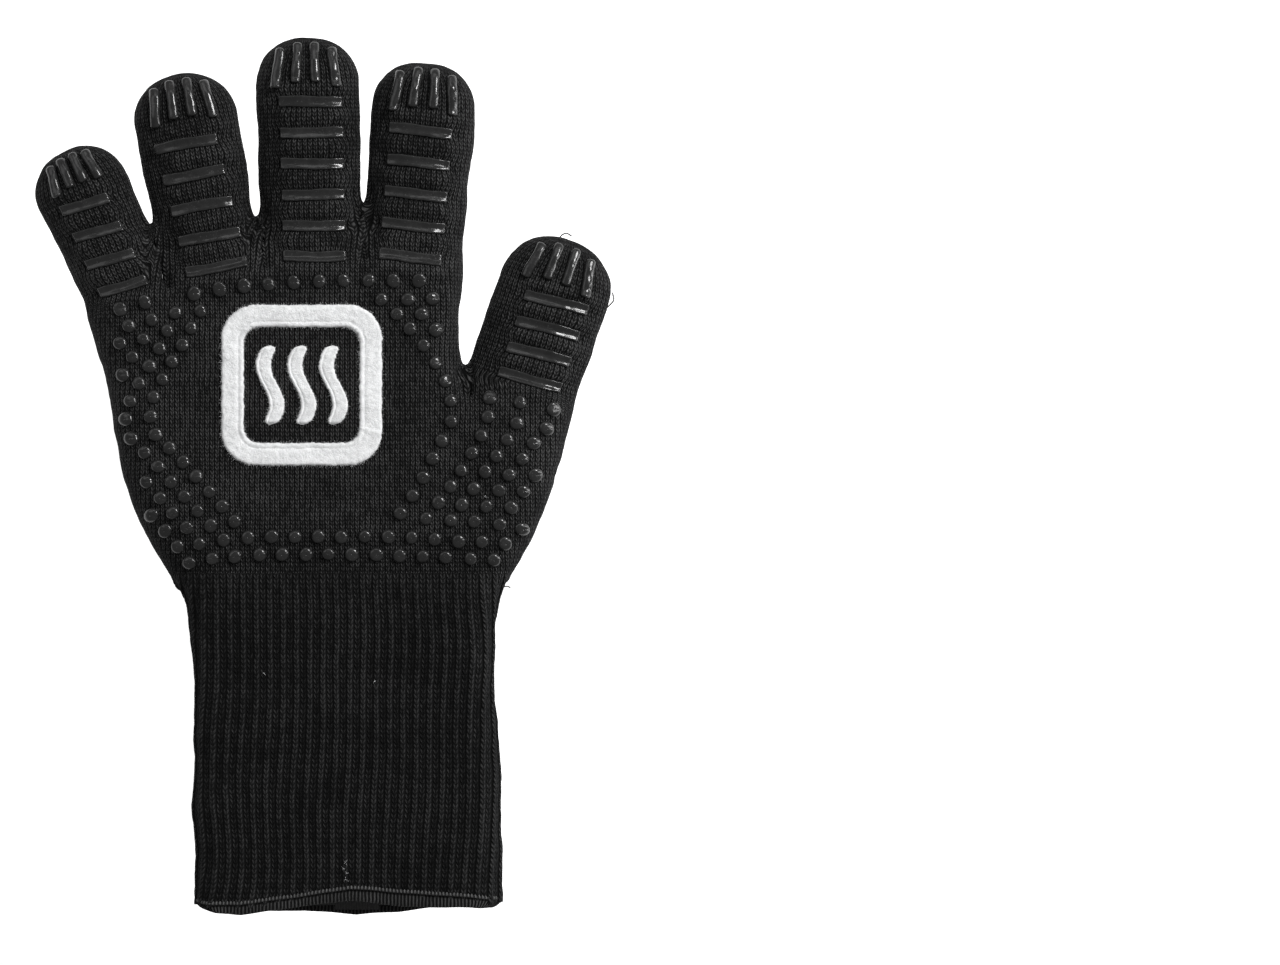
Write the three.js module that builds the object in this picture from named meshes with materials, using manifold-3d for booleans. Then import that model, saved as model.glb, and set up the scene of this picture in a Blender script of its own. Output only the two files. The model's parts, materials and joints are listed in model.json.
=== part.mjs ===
// A left-hand heat resistant glove, lying palm down with the back of the hand up.
// An outer knitted shell and a soft liner make two layers, with raised silicone grips printed on both sides.
// Units are millimetres. +X is the thumb side, +Y the fingertips and +Z the back of the hand. The glove rests on Z = 0.
import * as THREE from "three";
import { mergeVertices } from "three/addons/utils/BufferGeometryUtils.js";
import Module from "manifold-3d";

const wasm = await Module();
wasm.setup();

// Driving dimensions
const GAP = 0.3;
const SHELL_WALL = 2.0;
const LINER_WALL = 1.6;
const GRIP_RISE = 1.5;
const FILM_RISE = 0.65;
const SHELL_FLOOR = GRIP_RISE;
const HAND_THICKNESS = 22;
const FINGER_THICKNESS = 18.6;
const FINGER_LIFT = 0.25;
const FINGER_SIDES = 12;
const HAND_ROUNDING = 12;
const WRIST_Y = -36;
const WRIST_BAND_LENGTH = 14;
const SLEEVE_LENGTH = 14;
const CUFF_END_Y = -158.2;
const GLOVE_END_Y = -167.5;
const CUFF_CENTRE_X = 8;
const CUFF_WIDTH = 115;
const CUFF_THICKNESS = 20;
const RIB_COUNT = 44;
const RIB_DEPTH = 0.9;
const DOT_RADIUS = 2.5;
const DOT_SIDES = 6;
const PRINT_DROP = 6.5;
const BAR_WIDTH = 4.5;
const BAR_PITCH = 11.8;
const TIP_RIB_WIDTH = 3;
const BADGE_SIZE = 61;
const BADGE_BAND = 8.5;
const BADGE_THICKNESS = 1.2;
const BADGE_CENTRE = [-7.8, 34.5];

const SHELL_INSET = SHELL_WALL;
const LINER_INSET = SHELL_WALL + GAP;
const CAVITY_INSET = LINER_INSET + LINER_WALL;
const HAND_CENTRE_Z = SHELL_FLOOR + HAND_THICKNESS / 2;
const FINGER_CENTRE_Z = SHELL_FLOOR + FINGER_LIFT + FINGER_THICKNESS / 2;
const CUFF_CENTRE_Z = SHELL_FLOOR + CUFF_THICKNESS / 2;
const FAR = 400;

// Each digit starts at its base, on the line through the crotches beside it. Its tilt turns the tip towards the
// little finger side, and its crease is how far its bending creases are turned the same way. Distances along it
// are from the base: first the end of the hand, then the middle joint's centre, then the tip.
const DIGITS = [
  { name: "pinky", base: [-73.3, 71.6], tilt: 25, crease: 18, rootHalf: 16.6, half: 17.4, start: 4.5, middle: 34,
    length: 57, barWidth: 19, firstBar: 1.4, ribPitch: 5.5 },
  { name: "ring", base: [-40.7, 81.9], tilt: 10.5, crease: 6, rootHalf: 17.1, half: 18.6, start: 2.5, middle: 39,
    length: 73, barWidth: 24.4, firstBar: -2.7, ribPitch: 7.6 },
  { name: "middle", base: [-4.3, 87.2], tilt: 1.5, crease: 0, rootHalf: 18.3, half: 18.9, start: 3.5, middle: 43,
    length: 80.3, barWidth: 24.4, firstBar: -3.8, ribPitch: 7.6 },
  { name: "index", base: [33.0, 88.0], tilt: -4.6, crease: 0, rootHalf: 18.6, half: 19.2, start: 3, middle: 38,
    length: 69.8, barWidth: 24.4, firstBar: -4.8, ribPitch: 7.6 },
  { name: "thumb", base: [74.5, 34.2], tilt: -18.8, crease: -18.8, rootHalf: 21, half: 21.6, start: 6.5, middle: 37,
    length: 61, barWidth: 24.4, firstBar: 3.6, ribPitch: 7.6 },
];

// The hand's outline without its digits, from the wrist round the thumb side, the knuckles and back.
const HAND_OUTLINE = [
  [67, -60], [71, -40], [80, -22], [87, -5], [91.5, 12], [94.5, 27], [76, 37], [56, 42], [51.5, 52], [50.5, 66],
  [51.5, 82], [33, 89.5], [13, 89.5], [-5, 89.5], [-23, 84.5], [-41, 82], [-58, 79], [-74, 72], [-87, 64], [-86.5, 50],
  [-81.5, 29], [-78.5, 10], [-74, -6], [-67, -23], [-58, -40], [-51, -60],
];

// Strings of grip dots: how many dots, then the points that the string runs through.
const DOT_STRINGS = [
  [10, [-48.4, 69], [-29.3, 72.1], [-1.2, 74.2], [36.5, 74.3]],
  [13, [22.9, 67.3], [39, 48.9], [46.9, 35.9], [48.9, 22], [42.7, 7.7], [29.9, -13.8]],
  [3, [32.4, 67.3], [43.1, 55.5]],
  [8, [63.8, 30], [57.6, 10], [49.4, -3], [39.4, -16.2]],
  [8, [75.3, 27.5], [67, 9], [58.4, -3.6], [48.7, -16.9]],
  [8, [84, 23], [76.6, 7.7], [67.6, -4.5], [57.9, -17.3]],
  [4, [78, -1.2], [66, -18.3]],
  [12, [-28.1, -23.2], [24.5, -23.2], [66, -25.6]],
  [14, [-50.6, -32.2], [-22.6, -29.9], [29.1, -30.3], [62, -31.7]],
  [14, [-46.2, 62.8], [-53.6, 49.3], [-64.1, 29.5], [-63.7, 17], [-54, 6.7], [-33.2, -17.1]],
  [15, [-55.7, 62], [-62.1, 47.8], [-73.4, 27.5], [-72.8, 14.8], [-63.1, 4.5], [-37.4, -24.3]],
  [5, [-67, 65.9], [-64.5, 59.6], [-75.6, 38.4]],
  [5, [-66.6, -2.4], [-47, -25.7]],
];
const PALM_STRINGS = [
  [10, [-48.4, 67], [36.5, 70]],
  [11, [-60, 48], [42, 50]],
  [12, [-66, 28], [46, 28]],
  [13, [-66, 8], [74, 8]],
  [12, [-56, -12], [66, -12]],
  [11, [-48, -30], [60, -30]],
];

// Materials
const knit = () => new THREE.MeshStandardMaterial({ color: 0x1d1d1f, roughness: 0.95, metalness: 0 });
const cotton = () => new THREE.MeshStandardMaterial({ color: 0x2a2a2c, roughness: 1, metalness: 0 });
const silicone = () => new THREE.MeshStandardMaterial({ color: 0x2c2c2e, roughness: 0.45, metalness: 0 });
const felt = () => new THREE.MeshStandardMaterial({ color: 0xe6e6e4, roughness: 1, metalness: 0 });

// Solids and geometries
function toSolid(source) {
  const bare = source.clone();
  bare.deleteAttribute("normal");
  bare.deleteAttribute("uv");
  const merged = mergeVertices(bare, 1e-4);
  const vertProperties = new Float32Array(merged.attributes.position.array);
  const triVerts = new Uint32Array(merged.index.array);
  return new wasm.Manifold(new wasm.Mesh({ numProp: 3, vertProperties, triVerts }));
}

function toGeometry(solid) {
  const mesh = solid.getMesh();
  const geometry = new THREE.BufferGeometry();
  geometry.setAttribute("position", new THREE.BufferAttribute(new Float32Array(mesh.vertProperties), 3));
  geometry.setIndex(new THREE.BufferAttribute(new Uint32Array(mesh.triVerts), 1));
  const faceted = geometry.toNonIndexed();
  faceted.computeVertexNormals();
  return faceted;
}

const join = (solids) => solids.reduce((whole, piece) => whole.add(piece));

function boxSolid(low, high) {
  const size = high.map((value, axis) => value - low[axis]);
  const box = new THREE.BoxGeometry(...size);
  box.translate(...low.map((value, axis) => value + size[axis] / 2));
  return toSolid(box);
}

// The hand's pillow, with the skin moved inwards by inset.
function handBlock(inset) {
  const halfThickness = HAND_THICKNESS / 2 - inset;
  const flatHalf = 0.5;
  const shape = new THREE.Shape(HAND_OUTLINE.map(([x, y]) => new THREE.Vector2(x, y)));
  const pillow = new THREE.ExtrudeGeometry(shape, {
    depth: 2 * flatHalf,
    bevelThickness: halfThickness - flatHalf,
    bevelSize: HAND_ROUNDING,
    bevelOffset: -HAND_ROUNDING - inset,
    bevelSegments: 3,
    steps: 1,
  });
  pillow.translate(0, 0, HAND_CENTRE_Z - flatHalf);
  return toSolid(pillow);
}

// A digit's whole tube, closed at its tip and running on into the hand, with the skin moved inwards by inset.
function digitBlock(digit, inset) {
  const rootY = -24;
  const taperEnd = 18;
  const capLength = digit.half * 0.92;
  const capStart = digit.length - capLength;
  const half = digit.half - inset;
  const profile = [
    [0, rootY],
    [digit.rootHalf - inset, rootY],
    [digit.rootHalf - inset, 0],
    [half, taperEnd],
  ];
  const capSteps = 4;
  for (let step = 0; step <= capSteps; step += 1) {
    const angle = (step / capSteps) * (Math.PI / 2);
    const radius = step === capSteps ? 0 : half * Math.cos(angle) ** 0.8;
    profile.push([radius, capStart + (capLength - inset) * Math.sin(angle)]);
  }
  const tube = new THREE.LatheGeometry(profile.map(([r, y]) => new THREE.Vector2(r, y)), FINGER_SIDES);
  tube.scale(1, 1, (FINGER_THICKNESS / 2 - inset) / half);
  tube.rotateZ(THREE.MathUtils.degToRad(digit.tilt));
  tube.translate(...digit.base, FINGER_CENTRE_Z);
  return toSolid(tube);
}

// The space between two creases of a digit, held back by half a gap at each end.
function between(digit, from, to) {
  const slab = new THREE.BoxGeometry(FAR, to - from - GAP, FAR);
  slab.translate(0, (from + to) / 2, 0);
  slab.rotateZ(THREE.MathUtils.degToRad(digit.crease));
  slab.translate(...digit.base, 0);
  return toSolid(slab);
}

// A block set across or along a digit: centred sideways on its axis plus an offset, between two heights.
function digitBox(digit, sideways, width, from, to, low, high) {
  const block = new THREE.BoxGeometry(width, to - from, high - low);
  block.translate(sideways, (from + to) / 2, (low + high) / 2);
  block.rotateZ(THREE.MathUtils.degToRad(digit.tilt));
  block.translate(...digit.base, 0);
  return toSolid(block);
}

function digitTube(digit, outerInset, innerInset) {
  return digitBlock(digit, outerInset).subtract(digitBlock(digit, innerInset));
}

// The hand with the roots of its five digits, cut off at the wrist and at each digit's first crease.
function handBody(inset) {
  const roots = DIGITS.map((digit) => digitBlock(digit, inset).intersect(between(digit, -FAR / 2, digit.start)));
  const block = handBlock(inset).intersect(boxSolid([-FAR, WRIST_Y, -FAR], [FAR, FAR, FAR]));
  return join([block, ...roots]);
}

function handLayer(outerInset, innerInset) {
  const cavity = join([
    handBlock(innerInset),
    ...DIGITS.map((digit) => digitBlock(digit, innerInset)),
  ]);
  return handBody(outerInset).subtract(cavity);
}

// Raised print on a surface: a thin film over a region, with thicker grips standing on it.
function printOn(surface, film, grips) {
  const thin = surface(-FILM_RISE).intersect(film);
  const thick = surface(-GRIP_RISE).intersect(join(grips));
  return thin.add(thick).subtract(surface(-GAP));
}

// The palm side is pressed flat where it rests, so its grips are filled down to one level.
function flatPrintOn(surface, film, grips) {
  const aboveFloor = boxSolid([-FAR, -FAR, 0], [FAR, FAR, FAR]);
  const thin = surface(-FILM_RISE).intersect(film);
  const thick = surface(-GRIP_RISE - 1).intersect(join(grips)).intersect(aboveFloor);
  return thin.add(thick).subtract(surface(-GAP));
}

function bars(digit, places, low, high, width = digit.barWidth) {
  return places.map((place) => {
    return digitBox(digit, 0, width, place - BAR_WIDTH / 2, place + BAR_WIDTH / 2, low, high);
  });
}

function tipRibs(digit, low, high) {
  const from = Math.max(digit.length - 17.5, digit.middle + SLEEVE_LENGTH / 2 + 1.5);
  const to = digit.length - 4;
  return [-1.5, -0.5, 0.5, 1.5].map((place) => {
    return digitBox(digit, place * digit.ribPitch, TIP_RIB_WIDTH, from, to, low, high);
  });
}

function backBarPlaces(digit, from, to) {
  const places = [];
  for (let place = digit.firstBar; place < to; place += BAR_PITCH) {
    if (place > from) {
      places.push(place);
    }
  }
  return places;
}

// Dot strings
function dotPlaces([count, ...points]) {
  const curve = new THREE.CatmullRomCurve3(points.map(([x, y]) => new THREE.Vector3(x, y, 0)));
  return curve.getSpacedPoints(count - 1);
}

function dotBlocks(strings, low, high) {
  return strings.flatMap(dotPlaces).map((place) => {
    const dot = new THREE.CylinderGeometry(DOT_RADIUS, DOT_RADIUS, high - low, DOT_SIDES);
    dot.rotateX(Math.PI / 2);
    dot.translate(place.x, place.y, (low + high) / 2);
    return toSolid(dot);
  });
}

// Rounded square outline, as a shape centred on the badge.
function roundedSquare(half, corner) {
  const shape = new THREE.Shape();
  [[1, -1], [1, 1], [-1, 1], [-1, -1]].forEach(([x, y], side) => {
    const start = (side - 1) * (Math.PI / 2);
    shape.absarc(x * (half - corner), y * (half - corner), corner, start, start + Math.PI / 2, false);
  });
  shape.closePath();
  return shape;
}

function flatPiece(shape, low, thickness, segments = 4) {
  const plate = new THREE.ExtrudeGeometry(shape, { depth: thickness, bevelEnabled: false, curveSegments: segments });
  plate.translate(0, 0, low);
  return plate;
}

// The cuff's flat section: straight above and below, with a half circle at each side.
function smoothSection(inset) {
  const radius = CUFF_THICKNESS / 2 - inset;
  const flatHalf = (CUFF_WIDTH - CUFF_THICKNESS) / 2;
  const section = new THREE.Shape();
  section.absarc(flatHalf, 0, radius, -Math.PI / 2, Math.PI / 2, false);
  section.absarc(-flatHalf, 0, radius, Math.PI / 2, (3 * Math.PI) / 2, false);
  section.closePath();
  return section;
}

// The same section with the ripples of knitted ribs, each a peak and a groove.
function ribbedSection() {
  const radius = CUFF_THICKNESS / 2;
  const flat = CUFF_WIDTH - CUFF_THICKNESS;
  const bend = Math.PI * radius;
  const points = [];
  for (let step = 0; step < 2 * RIB_COUNT; step += 1) {
    const way = (step / RIB_COUNT) * (flat + bend);
    const out = radius - (step % 2) * RIB_DEPTH;
    const halfWay = way % (flat + bend);
    const side = way < flat + bend ? 1 : -1;
    const turn = Math.max(halfWay - flat, 0) / radius;
    const along = Math.min(halfWay, flat) - flat / 2;
    points.push(new THREE.Vector2(side * (along + out * Math.sin(turn)), side * out * Math.cos(turn)));
  }
  return new THREE.Shape(points);
}

// A ring of the cuff between two places along Y.
function cuffRing(section, innerInset, fromY, toY) {
  section.holes.push(smoothSection(innerInset));
  const ring = new THREE.ExtrudeGeometry(section, {
    depth: toY - fromY,
    bevelEnabled: false,
    steps: 1,
    curveSegments: 7,
  });
  ring.rotateX(Math.PI / 2);
  ring.translate(CUFF_CENTRE_X, toY, CUFF_CENTRE_Z);
  return ring;
}

// The wrist band widens from the cuff up to the hand.
function wristBand() {
  const low = WRIST_Y - WRIST_BAND_LENGTH;
  const ring = cuffRing(smoothSection(0), CAVITY_INSET, low + GAP / 2, WRIST_Y - GAP / 2);
  const spread = 1.1;
  const rise = 1.08;
  const place = ring.attributes.position;
  for (let vertex = 0; vertex < place.count; vertex += 1) {
    const share = (place.getY(vertex) - low) / WRIST_BAND_LENGTH;
    const across = place.getX(vertex) - CUFF_CENTRE_X;
    const up = place.getZ(vertex) - SHELL_FLOOR;
    place.setX(vertex, CUFF_CENTRE_X - share * 1.5 + across * (1 + share * (spread - 1)));
    place.setZ(vertex, SHELL_FLOOR + up * (1 + share * (rise - 1)));
  }
  return ring;
}

// Three heat waves that rise inside the badge's frame.
function heatWave(offset) {
  const halfWidth = 3;
  const sway = 2.6;
  const tall = 30;
  const steps = 12;
  const left = [];
  const right = [];
  for (let step = 0; step <= steps; step += 1) {
    const share = step / steps;
    const x = BADGE_CENTRE[0] + offset + sway * Math.sin(share * 2 * Math.PI);
    const y = BADGE_CENTRE[1] + (share - 0.5) * tall;
    right.push(new THREE.Vector2(x + halfWidth, y));
    left.unshift(new THREE.Vector2(x - halfWidth, y));
  }
  return flatPiece(new THREE.Shape([...right, ...left]), badgeFloor(), BADGE_THICKNESS);
}

const badgeFloor = () => SHELL_FLOOR + HAND_THICKNESS + GAP;

function badgeFrame() {
  const shape = roundedSquare(BADGE_SIZE / 2, 13);
  shape.holes.push(roundedSquare(BADGE_SIZE / 2 - BADGE_BAND, 6));
  const frame = flatPiece(shape, badgeFloor(), BADGE_THICKNESS);
  frame.translate(...BADGE_CENTRE, 0);
  return frame;
}

// The film under the back's dots covers the back of the hand and leaves room for the badge.
function backPrint() {
  const low = HAND_CENTRE_Z + PRINT_DROP;
  const room = flatPiece(roundedSquare(BADGE_SIZE / 2 + 1.5, 14), low, HAND_THICKNESS);
  room.translate(...BADGE_CENTRE, 0);
  const film = boxSolid([-FAR, WRIST_Y + 1, low], [FAR, FAR, FAR]).subtract(toSolid(room));
  const firstBars = DIGITS.flatMap((digit) => bars(digit, [digit.firstBar], low, FAR));
  return printOn(handBody, film, [...dotBlocks(DOT_STRINGS, low, FAR), ...firstBars]);
}

function palmPrint() {
  const high = SHELL_FLOOR + 0.8;
  const film = boxSolid([-69, -34, -1], [79, 73, high]);
  return flatPrintOn(handBody, film, dotBlocks(PALM_STRINGS, -1, high));
}

// The grips of one digit
function backBars(digit) {
  const from = digit.start + GAP;
  const to = digit.length - 18.5;
  const low = FINGER_CENTRE_Z + 2;
  const film = digitBox(digit, 0, digit.barWidth - 3, from, to, low, FAR);
  const grips = bars(digit, backBarPlaces(digit, from + 1, to - 1), low, FAR);
  const beyondHand = between(digit, digit.start, FAR / 2);
  return printOn((inset) => digitBlock(digit, inset), film, grips).intersect(beyondHand);
}

function backTipRibs(digit) {
  const low = FINGER_CENTRE_Z + 3;
  const wide = 3 * digit.ribPitch + 1;
  const film = digitBox(digit, 0, wide, digit.length - 17.5, digit.length - 5, low, FAR);
  const ribs = printOn((inset) => digitBlock(digit, inset), film, tipRibs(digit, low, FAR));
  return ribs.intersect(between(digit, digit.middle + SLEEVE_LENGTH / 2, FAR / 2));
}

function palmBars(digit) {
  const from = digit.start + SLEEVE_LENGTH;
  const to = digit.middle - SLEEVE_LENGTH / 2;
  const places = to - from > 14 ? [from + 4.5, to - 4.5] : [(from + to) / 2];
  const high = FINGER_CENTRE_Z - 4;
  const film = digitBox(digit, 0, digit.barWidth - 6, places[0] - 2, places.at(-1) + 2, -1, high);
  return flatPrintOn((inset) => digitBlock(digit, inset), film, bars(digit, places, -1, high, digit.barWidth - 3));
}

function palmTipRibs(digit) {
  const high = FINGER_CENTRE_Z - 4;
  const wide = 3 * digit.ribPitch + 1;
  const from = Math.max(digit.length - 17.5, digit.middle + SLEEVE_LENGTH / 2 + 1.5);
  const film = digitBox(digit, 0, wide, from, digit.length - 5, -1, high);
  return flatPrintOn((inset) => digitBlock(digit, inset), film, tipRibs(digit, -1, high));
}

// Assembly
const glove = new THREE.Group();

function addPiece(name, geometry, material) {
  const mesh = new THREE.Mesh(geometry, material);
  mesh.name = name;
  glove.add(mesh);
}

function addDigit(digit) {
  const knuckleEnd = digit.start + SLEEVE_LENGTH;
  const middleStart = digit.middle - SLEEVE_LENGTH / 2;
  const middleEnd = digit.middle + SLEEVE_LENGTH / 2;
  const shell = digitTube(digit, 0, SHELL_INSET);
  const liner = digitTube(digit, LINER_INSET, CAVITY_INSET);
  const piece = (solid, from, to) => toGeometry(solid.intersect(between(digit, from, to)));
  addPiece(`${digit.name}_knuckle_sleeve`, piece(shell, digit.start, knuckleEnd), knit());
  addPiece(`${digit.name}_base_shell`, piece(shell, knuckleEnd, middleStart), knit());
  addPiece(`${digit.name}_middle_sleeve`, piece(shell, middleStart, middleEnd), knit());
  addPiece(`${digit.name}_tip_shell`, piece(shell, middleEnd, FAR / 2), knit());
  addPiece(`${digit.name}_liner`, piece(liner, digit.start, FAR / 2), cotton());
  addPiece(`${digit.name}_back_bars`, toGeometry(backBars(digit)), silicone());
  addPiece(`${digit.name}_back_tip_ribs`, toGeometry(backTipRibs(digit)), silicone());
  addPiece(`${digit.name}_palm_bars`, toGeometry(palmBars(digit)), silicone());
  addPiece(`${digit.name}_palm_tip_ribs`, toGeometry(palmTipRibs(digit)), silicone());
}

function addHand() {
  addPiece("hand_shell", toGeometry(handLayer(0, SHELL_INSET)), knit());
  addPiece("hand_liner", toGeometry(handLayer(LINER_INSET, CAVITY_INSET)), cotton());
  addPiece("back_dots", toGeometry(backPrint()), silicone());
  addPiece("palm_dots", toGeometry(palmPrint()), silicone());
  addPiece("badge_frame", badgeFrame(), felt());
  ["left", "middle", "right"].forEach((side, index) => {
    addPiece(`heat_wave_${side}`, heatWave((index - 1) * 12), felt());
  });
}

function addCuff() {
  const cuffStart = WRIST_Y - WRIST_BAND_LENGTH;
  const linerLow = GLOVE_END_Y + 4;
  addPiece("wrist_band", wristBand(), knit());
  addPiece("cuff_rib", cuffRing(ribbedSection(), SHELL_INSET, CUFF_END_Y + GAP, cuffStart - GAP / 2), knit());
  addPiece("cuff_hem", cuffRing(smoothSection(-SHELL_FLOOR), SHELL_INSET, GLOVE_END_Y, CUFF_END_Y), knit());
  addPiece("cuff_liner", cuffRing(smoothSection(LINER_INSET), CAVITY_INSET, linerLow, cuffStart - GAP / 2), cotton());
  const label = new THREE.BoxGeometry(34, 14, 0.6);
  label.translate(CUFF_CENTRE_X + 3, linerLow + 9, SHELL_FLOOR + CAVITY_INSET + GAP + 0.3);
  addPiece("care_label", label, felt());
}

addHand();
addCuff();
DIGITS.forEach(addDigit);

export default glove;
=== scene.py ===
"""The looks of a left-hand heat resistant glove: knit, silicone grips, a felt badge and a ribbed cuff.

The knitted skin is one smooth surface worked out from the outline of the hand and its five digits. It is
cut into pieces for the hand, each digit and the cuff. Lengths are in millimetres until a mesh is
made.
"""
import json
import math

import bmesh
import bpy
import numpy as np
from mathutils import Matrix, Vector


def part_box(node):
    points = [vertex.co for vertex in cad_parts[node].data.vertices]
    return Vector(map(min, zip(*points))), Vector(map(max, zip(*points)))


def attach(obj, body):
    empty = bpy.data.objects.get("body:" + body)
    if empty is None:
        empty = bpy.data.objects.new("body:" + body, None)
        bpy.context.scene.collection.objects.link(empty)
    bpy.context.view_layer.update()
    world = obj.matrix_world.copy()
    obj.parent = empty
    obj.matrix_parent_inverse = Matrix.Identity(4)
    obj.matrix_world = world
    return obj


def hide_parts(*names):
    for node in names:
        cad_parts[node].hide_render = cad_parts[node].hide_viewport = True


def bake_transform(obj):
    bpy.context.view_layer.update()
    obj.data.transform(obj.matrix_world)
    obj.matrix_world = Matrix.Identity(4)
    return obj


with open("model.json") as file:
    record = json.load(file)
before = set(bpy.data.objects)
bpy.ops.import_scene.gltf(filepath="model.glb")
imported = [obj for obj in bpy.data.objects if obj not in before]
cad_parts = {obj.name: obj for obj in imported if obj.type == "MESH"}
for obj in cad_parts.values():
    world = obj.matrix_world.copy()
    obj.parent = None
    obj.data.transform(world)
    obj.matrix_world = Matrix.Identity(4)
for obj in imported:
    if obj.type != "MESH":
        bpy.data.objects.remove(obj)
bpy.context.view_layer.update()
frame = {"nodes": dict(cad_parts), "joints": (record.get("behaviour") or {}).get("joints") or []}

MM = 0.001
SEED = 7
SIDES = {"back": 1, "palm": -1}

# The camera looks straight down at the middle of the pair that the glove belongs to.
VIEW_CENTRE = (120.7, -2.5)
VIEW_WIDTH = 488.0
CAMERA_HEIGHT = 2400.0
GLOVE_LEVEL = 15
SENSOR = 36

# The glove's skin
FLOOR_CLEARANCE = 1.5
HAND_RISE = 11.3
CUFF_RISE = 9.6
DIGIT_RISE = 9.6
NET_STEP = 1.7
NET_BOX = ((-116, -172, -1.5), (116, 172, 27.5))
PLAN_LOW = (-120.0, -195.0)
PLAN_HIGH = (120, 110)
CREASE_SMOOTH = 2.6
LINING_DEPTH = 3.0
BEND_HALF = 7.0
WRIST_TURN = (-60, -10)
CUFF_ROUNDING = 11
HAND_ROUNDING = 15
CUFF_MIDDLE_X = 9.3
# A height inside the glove everywhere, and how far over or under it a point is surely outside
INSIDE_Z = 11.0
OUTSIDE_REACH = 17

# Knit, ribs and hem
WALE = 1.9
COURSE = 1.6
CUFF_COURSE = 1.9
RIB_PITCH = 5.06
RIB_DEPTH = 0.55
RIB_TOP_Y = -37.0
HEM_STITCH = 1.35
HEM_POINTS_ALONG = 1200
HEM_POINTS_ROUND = 28

# Silicone grips
BAR_WIDTH = 4.4
BAR_RISE = 1.25
RIB_WIDTH = 4.0
DOT_RADIUS = 2.75
DOT_RISE = 1.6
DOT_RINGS = 10
DOT_ANGLES = 23
BAR_GRID = (43, 15)
TIP_RIBS = 4
GRIP_SINK = 0.6

# Badge
BADGE_CENTRE = (-7.8, 34.5)
BADGE_HALF = 30.5
BADGE_BAND = 8.5
BADGE_RISE = 1.3
BADGE_CORNERS = (13, 6)
WAVE_PITCH = 12
WAVE_SWING = 2.6
WAVE_TALL = 30
WAVE_HALF = 2.9

# Loose yarn ends: the body that each is on, and the points that it runs through
YARN_RADIUS = 0.28
YARN_ENDS = {
    "thumb_side": ("thumb_tip", [(105.5, 62, 12), (108.4, 64.5, 13), (110.6, 67, 12.5), (110.2, 70, 12)]),
    "thumb_tip": ("thumb_tip", [(89, 88, 12), (90.5, 91.5, 13), (92.6, 92.6, 12.4), (94.6, 91.6, 12)]),
    "wrist": ("hand", [(66.6, -41.4, 11), (68.4, -42.3, 12), (70, -42.1, 11.5), (71.2, -42.7, 11)]),
}
LINT = [(8.6, -147), (8.2, -149.4), (9.1, -151), (8.7, -153.6), (-22, -75), (20, -78), (62, -8)]

# The care label: half its thickness, its middle's height over the lining, and the marks on it
LABEL_HALF_THICK = 0.25
LABEL_RISE = 0.75
MARK_ROWS = 4
MARK_HALF = 0.4
MARK_GAP = 1.4
MARK_LENGTHS = (2.5, 6)

# How near to each other points become one, in slabs on the skin and in closed grids without double points
MERGE = 0.03
MERGE_FINE = 0.0001

# The soft lights: place, what each points at, width and height in metres, and power in watts
LIGHTS = {
    "upper_right": ((1.5, 1.35, 1.55), (0.0, 0.0, 0.0), 0.66, 0.66, 60),
    "upper_left": ((-1.7, 1.0, 1.5), (0.0, 0.0, 0.0), 1.6, 1.4, 9),
    "back_fill": ((-0.1, 2.1, 1.5), (0.0, 0.0, 0.0), 1.6, 0.7, 7),
    "right_edge": ((1.15, 0.16, 0.3), (0.0, 0.02, 0.012), 0.2, 1.1, 9),
}
FLOOR_Z = -125
FLOOR_HALF = 4000
WORLD_STRENGTH = 0.4

# Each digit's tilt in degrees, its half widths at the root and beyond, how far it lies aside of the CAD's
# line, how much shorter it is, and how far its root is below its knuckle crease. Then its bars: how many,
# where the first lies from the root, their pitch, sideways shift and drift, length and slope, and the pitch
# and length of its ribs.
DIGITS = {
    "pinky": dict(
        tilt=25, root=16.8, half=17.7, aside=-1.5, trim=-1.2, below=11.5,
        bars=4, first=1.5, pitch=11.5, shift=-0.6, drift=0, bar=19, slope=9, rib_pitch=5.6, rib=12),
    "ring": dict(
        tilt=10.5, root=17.6, half=19.5, aside=-2.1, trim=0.1, below=9.5,
        bars=5, first=-2.7, pitch=12.1, shift=2.0, drift=-0.06, bar=24.4, slope=0, rib_pitch=7.4, rib=15),
    "middle": dict(
        tilt=1.5, root=18.5, half=19.3, aside=-0.4, trim=-0.1, below=10.5,
        bars=6, first=-3.8, pitch=11.8, shift=1.5, drift=0, bar=24.4, slope=1, rib_pitch=7.6, rib=15.5),
    "index": dict(
        tilt=-4.6, root=18.6, half=19.4, aside=1.0, trim=-0.3, below=10.0,
        bars=5, first=-4.8, pitch=12.1, shift=-0.3, drift=0, bar=24.4, slope=1, rib_pitch=7.6, rib=15.5),
    "thumb": dict(
        tilt=-18.8, root=21.0, half=21.0, aside=0.8, trim=2.2, below=13.5,
        bars=4, first=3.6, pitch=10.4, shift=2.4, drift=0, bar=25, slope=-4, rib_pitch=7.8, rib=14.5),
}

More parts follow.
